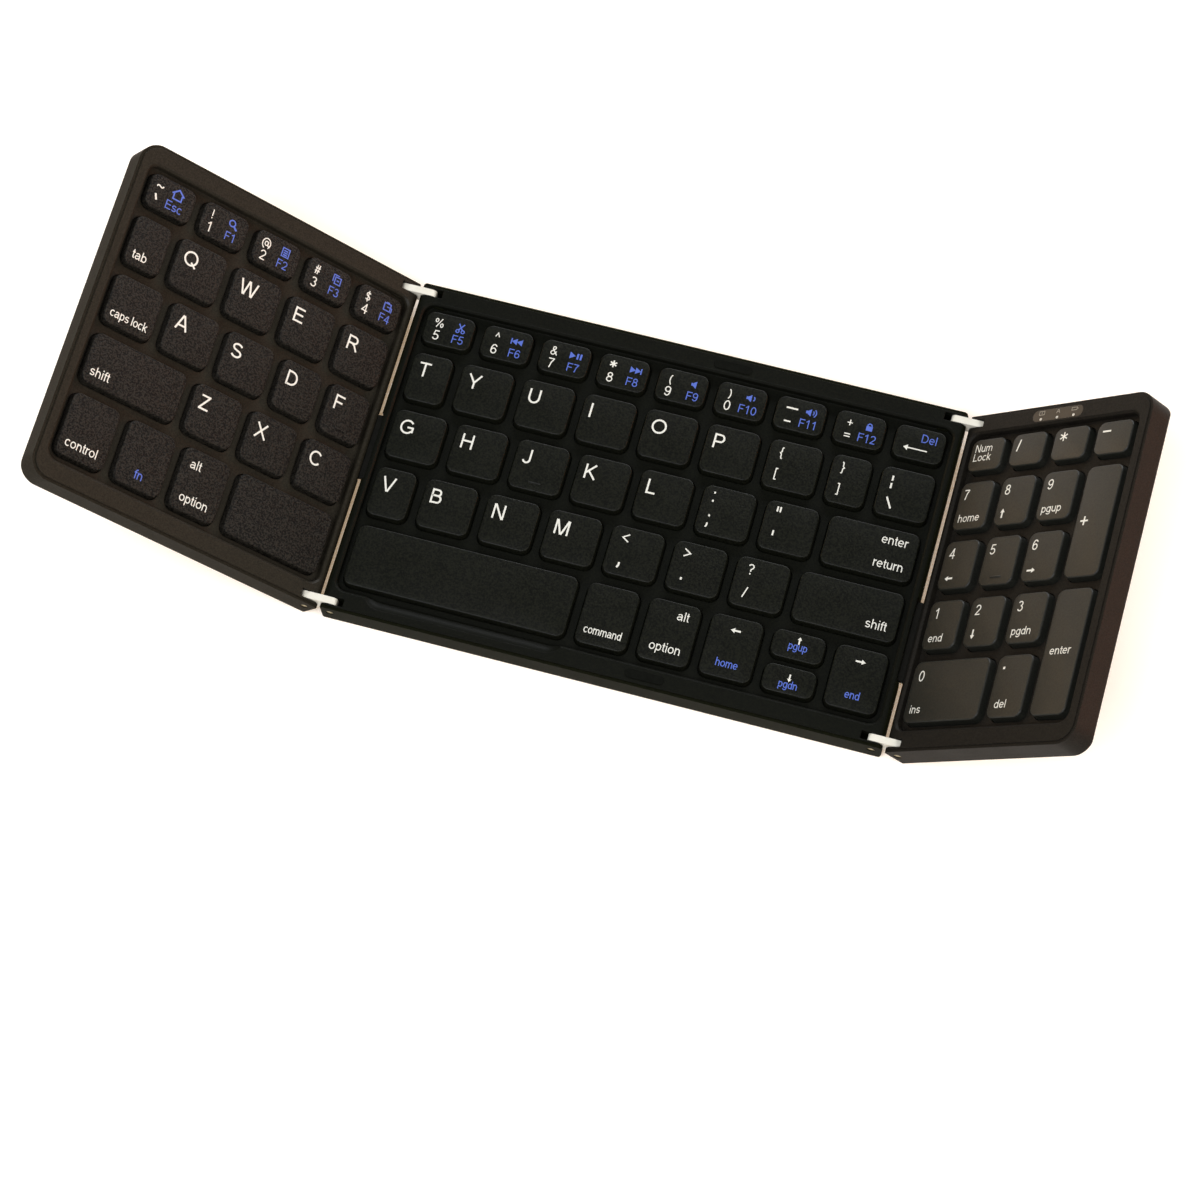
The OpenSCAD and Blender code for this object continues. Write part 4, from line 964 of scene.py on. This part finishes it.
def sleeve_half(name, start, end, y_low, y_high):
    """Half of a sleeve between two places in the frame's metres, arched up and thin-edged."""
    edge_width = sleeve_edge_mm * MM
    top = (start + end) / 2 + Vector((0, 0, half_arch_mm * MM))
    ys = [y_low, y_low + 0.3 * edge_width, y_low + edge_width]
    width_step = (y_high - y_low - 2 * edge_width) / width_steps
    inner = [ys[-1] + width_step * i for i in range(1, width_steps)]
    ys = ys + inner + [y_high - (y - y_low) for y in reversed(ys)]
    rings = []
    for y in ys:
        from_edge = min(y - y_low, y_high - y, edge_width) / edge_width
        swell = math.sqrt(max(0.0, 1 - (1 - from_edge) ** 2))
        thick = sleeve_thick_mm / 2 * MM * (sleeve_edge_share + (1 - sleeve_edge_share) * swell)
        upper, lower = [], []
        for step in range(arch_steps + 1):
            t = step / arch_steps
            spot = (1 - t) ** 2 * start + 2 * t * (1 - t) * top + t ** 2 * end
            slope = 2 * (1 - t) * (top - start) + 2 * t * (end - top)
            side = Vector((-slope.z, 0, slope.x)).normalized()
            side *= math.copysign(thick, side.z)
            upper.append(Vector((spot.x + side.x, y, spot.z + side.z)))
            lower.append(Vector((spot.x - side.x, y, spot.z - side.z)))
        rings.append(upper + lower[::-1])
    shape = bmesh.new()
    loft(shape, rings)
    piece = mesh_object(name, finish_mesh(name, shape, Matrix(), sleeve_crease_deg),
                        sleeve_rubber)
    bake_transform(piece)
    return piece


base_low, base_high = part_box("centre_base")
for side, sign, wing_place, panel_edge in (("left", -1, left, base_low.x),
                                           ("right", 1, right, base_high.x)):
    node = side + "_cable_sleeve"
    low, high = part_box(node)
    pin = Vector(joints[side + "_link_turn"]["pos_m"])
    pin_to_edge_mm = abs(panel_edge - pin.x) / MM
    near = Vector((panel_edge - sign * sleeve_bite_mm * MM, 0, pin.z + sleeve_rise_mm * MM))
    far = wing_place @ Vector((-sign * (pin_to_edge_mm - sleeve_bite_mm), 0, sleeve_rise_mm))
    crown = (near + far) / 2 + Vector((0, 0, sleeve_arch_mm * MM))
    first = sleeve_half(node + "_inner", near, crown, low.y, high.y)
    sleeve_half(node + "_outer", crown, far, low.y, high.y)
    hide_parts(node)


# --- Indicator window and lamps -----------------------------------------------------------------
# A smoked polycarbonate window is set flush in the number pad's bezel. Three milky lamps shine
# through it, unlit here, and a small sign is printed behind each of them.
lamp_radius_mm = 0.42
lamp_rise_mm = 0.12
lamp_gap_mm = 5.85
lamp_count = 3
lamp_front_mm = 1.15  # from the window's middle line to the lamps
sign_rear_mm = 0.75  # and to the signs
sign_rise_mm = 0.01

dress(grained_plastic("smoked_polycarbonate", "#090806", "#0D0C09", 1.5, 0.002, 0.3, 0.12, 0.3),
      "indicator_window")
milky_lens = rubber("milky_lamp_lens", "#B8B3A8", "#C9C5BA", 0.3, 0.5)
faint_ink = ink("faint_window_print", "#77736A")

lamp_inputs = (("Count", "NodeSocketInt", lamp_count), ("Gap", "NodeSocketFloat", lamp_gap_mm),
               ("Radius", "NodeSocketFloat", lamp_radius_mm),
               ("Rise", "NodeSocketFloat", lamp_rise_mm))
lamp_tree = bpy.data.node_groups.new("row_of_lamps", "GeometryNodeTree")
identifiers = {}
for label, kind, _ in lamp_inputs:
    socket = lamp_tree.interface.new_socket(label, in_out="INPUT", socket_type=kind)
    identifiers[label] = socket.identifier
lamp_tree.interface.new_socket("Geometry", in_out="OUTPUT", socket_type="NodeSocketGeometry")
given = add(lamp_tree, "NodeGroupInput")
step_along = add(lamp_tree, "ShaderNodeCombineXYZ", {"X": given.outputs["Gap"]})
row = add(lamp_tree, "GeometryNodeMeshLine", {
    "Count": given.outputs["Count"], "Offset": step_along.outputs["Vector"]}, mode="OFFSET")
lens = add(lamp_tree, "GeometryNodeMeshUVSphere", {"Segments": 20, "Rings": 10, "Radius": 1.0})
squeeze = add(lamp_tree, "ShaderNodeCombineXYZ", {
    "X": given.outputs["Radius"], "Y": given.outputs["Radius"], "Z": given.outputs["Rise"]})
set_lamps = add(lamp_tree, "GeometryNodeInstanceOnPoints", {
    "Points": row.outputs["Mesh"], "Instance": lens.outputs["Mesh"],
    "Scale": squeeze.outputs["Vector"]})
real_lamps = add(lamp_tree, "GeometryNodeRealizeInstances", {
    "Geometry": set_lamps.outputs["Instances"]})
smooth_lamps = add(lamp_tree, "GeometryNodeSetShadeSmooth", {
    "Geometry": real_lamps.outputs["Geometry"]})
milky_lamps = add(lamp_tree, "GeometryNodeSetMaterial", {
    "Geometry": smooth_lamps.outputs["Geometry"], "Material": milky_lens})
add(lamp_tree, "NodeGroupOutput", {"Geometry": milky_lamps.outputs["Geometry"]})

lamp_source = bpy.data.objects.new("lamp_source", bpy.data.meshes.new("lamp_source"))
bpy.context.collection.objects.link(lamp_source)
lamp_modifier = lamp_source.modifiers.new("row_of_lamps", "NODES")
lamp_modifier.node_group = lamp_tree
for label, _, value in lamp_inputs:
    lamp_modifier[identifiers[label]] = value
depsgraph = bpy.context.evaluated_depsgraph_get()
depsgraph.update()
lamp_mesh = bpy.data.meshes.new_from_object(lamp_source.evaluated_get(depsgraph))
bpy.data.objects.remove(lamp_source)

window_low, window_high = solids_in("indicator_window", right)[0]
window_mid = (window_low + window_high) / 2
first_lamp = Vector((window_mid.x - lamp_gap_mm * (lamp_count - 1) / 2,
                     window_mid.y - lamp_front_mm, window_high.z))
lamp_mesh.transform(right @ Matrix.Translation(first_lamp))
lamp_piece = mesh_object("indicator_lamps", lamp_mesh)
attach(lamp_piece, "right_wing")

signs = (
    line(rectangle(-0.9, -0.55, 0.9, 0.55), 0.2, True) + line([(0, -0.3), (0, 0.3)], 0.22),
    line([(-0.6, -0.6), (0, 0.6), (0.6, -0.6)], 0.22)
    + line([(-0.35, -0.15), (0.35, -0.15)], 0.2),
    line(rectangle(-1.0, -0.4, 0.8, 0.4), 0.2, True) + line([(1.1, -0.15), (1.1, 0.15)], 0.25),
)
sign_shape = bmesh.new()
for i, sign_lines in enumerate(signs):
    for polygon in moved(sign_lines, first_lamp.x + i * lamp_gap_mm,
                         -(window_mid.y + sign_rear_mm)):
        sign_shape.faces.new([sign_shape.verts.new((x, y, window_high.z + sign_rise_mm))
                              for x, y in polygon])
sign_mesh = finish_mesh("indicator_signs", sign_shape, right)
sign_piece = mesh_object("indicator_signs", sign_mesh, faint_ink)
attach(sign_piece, "right_wing")
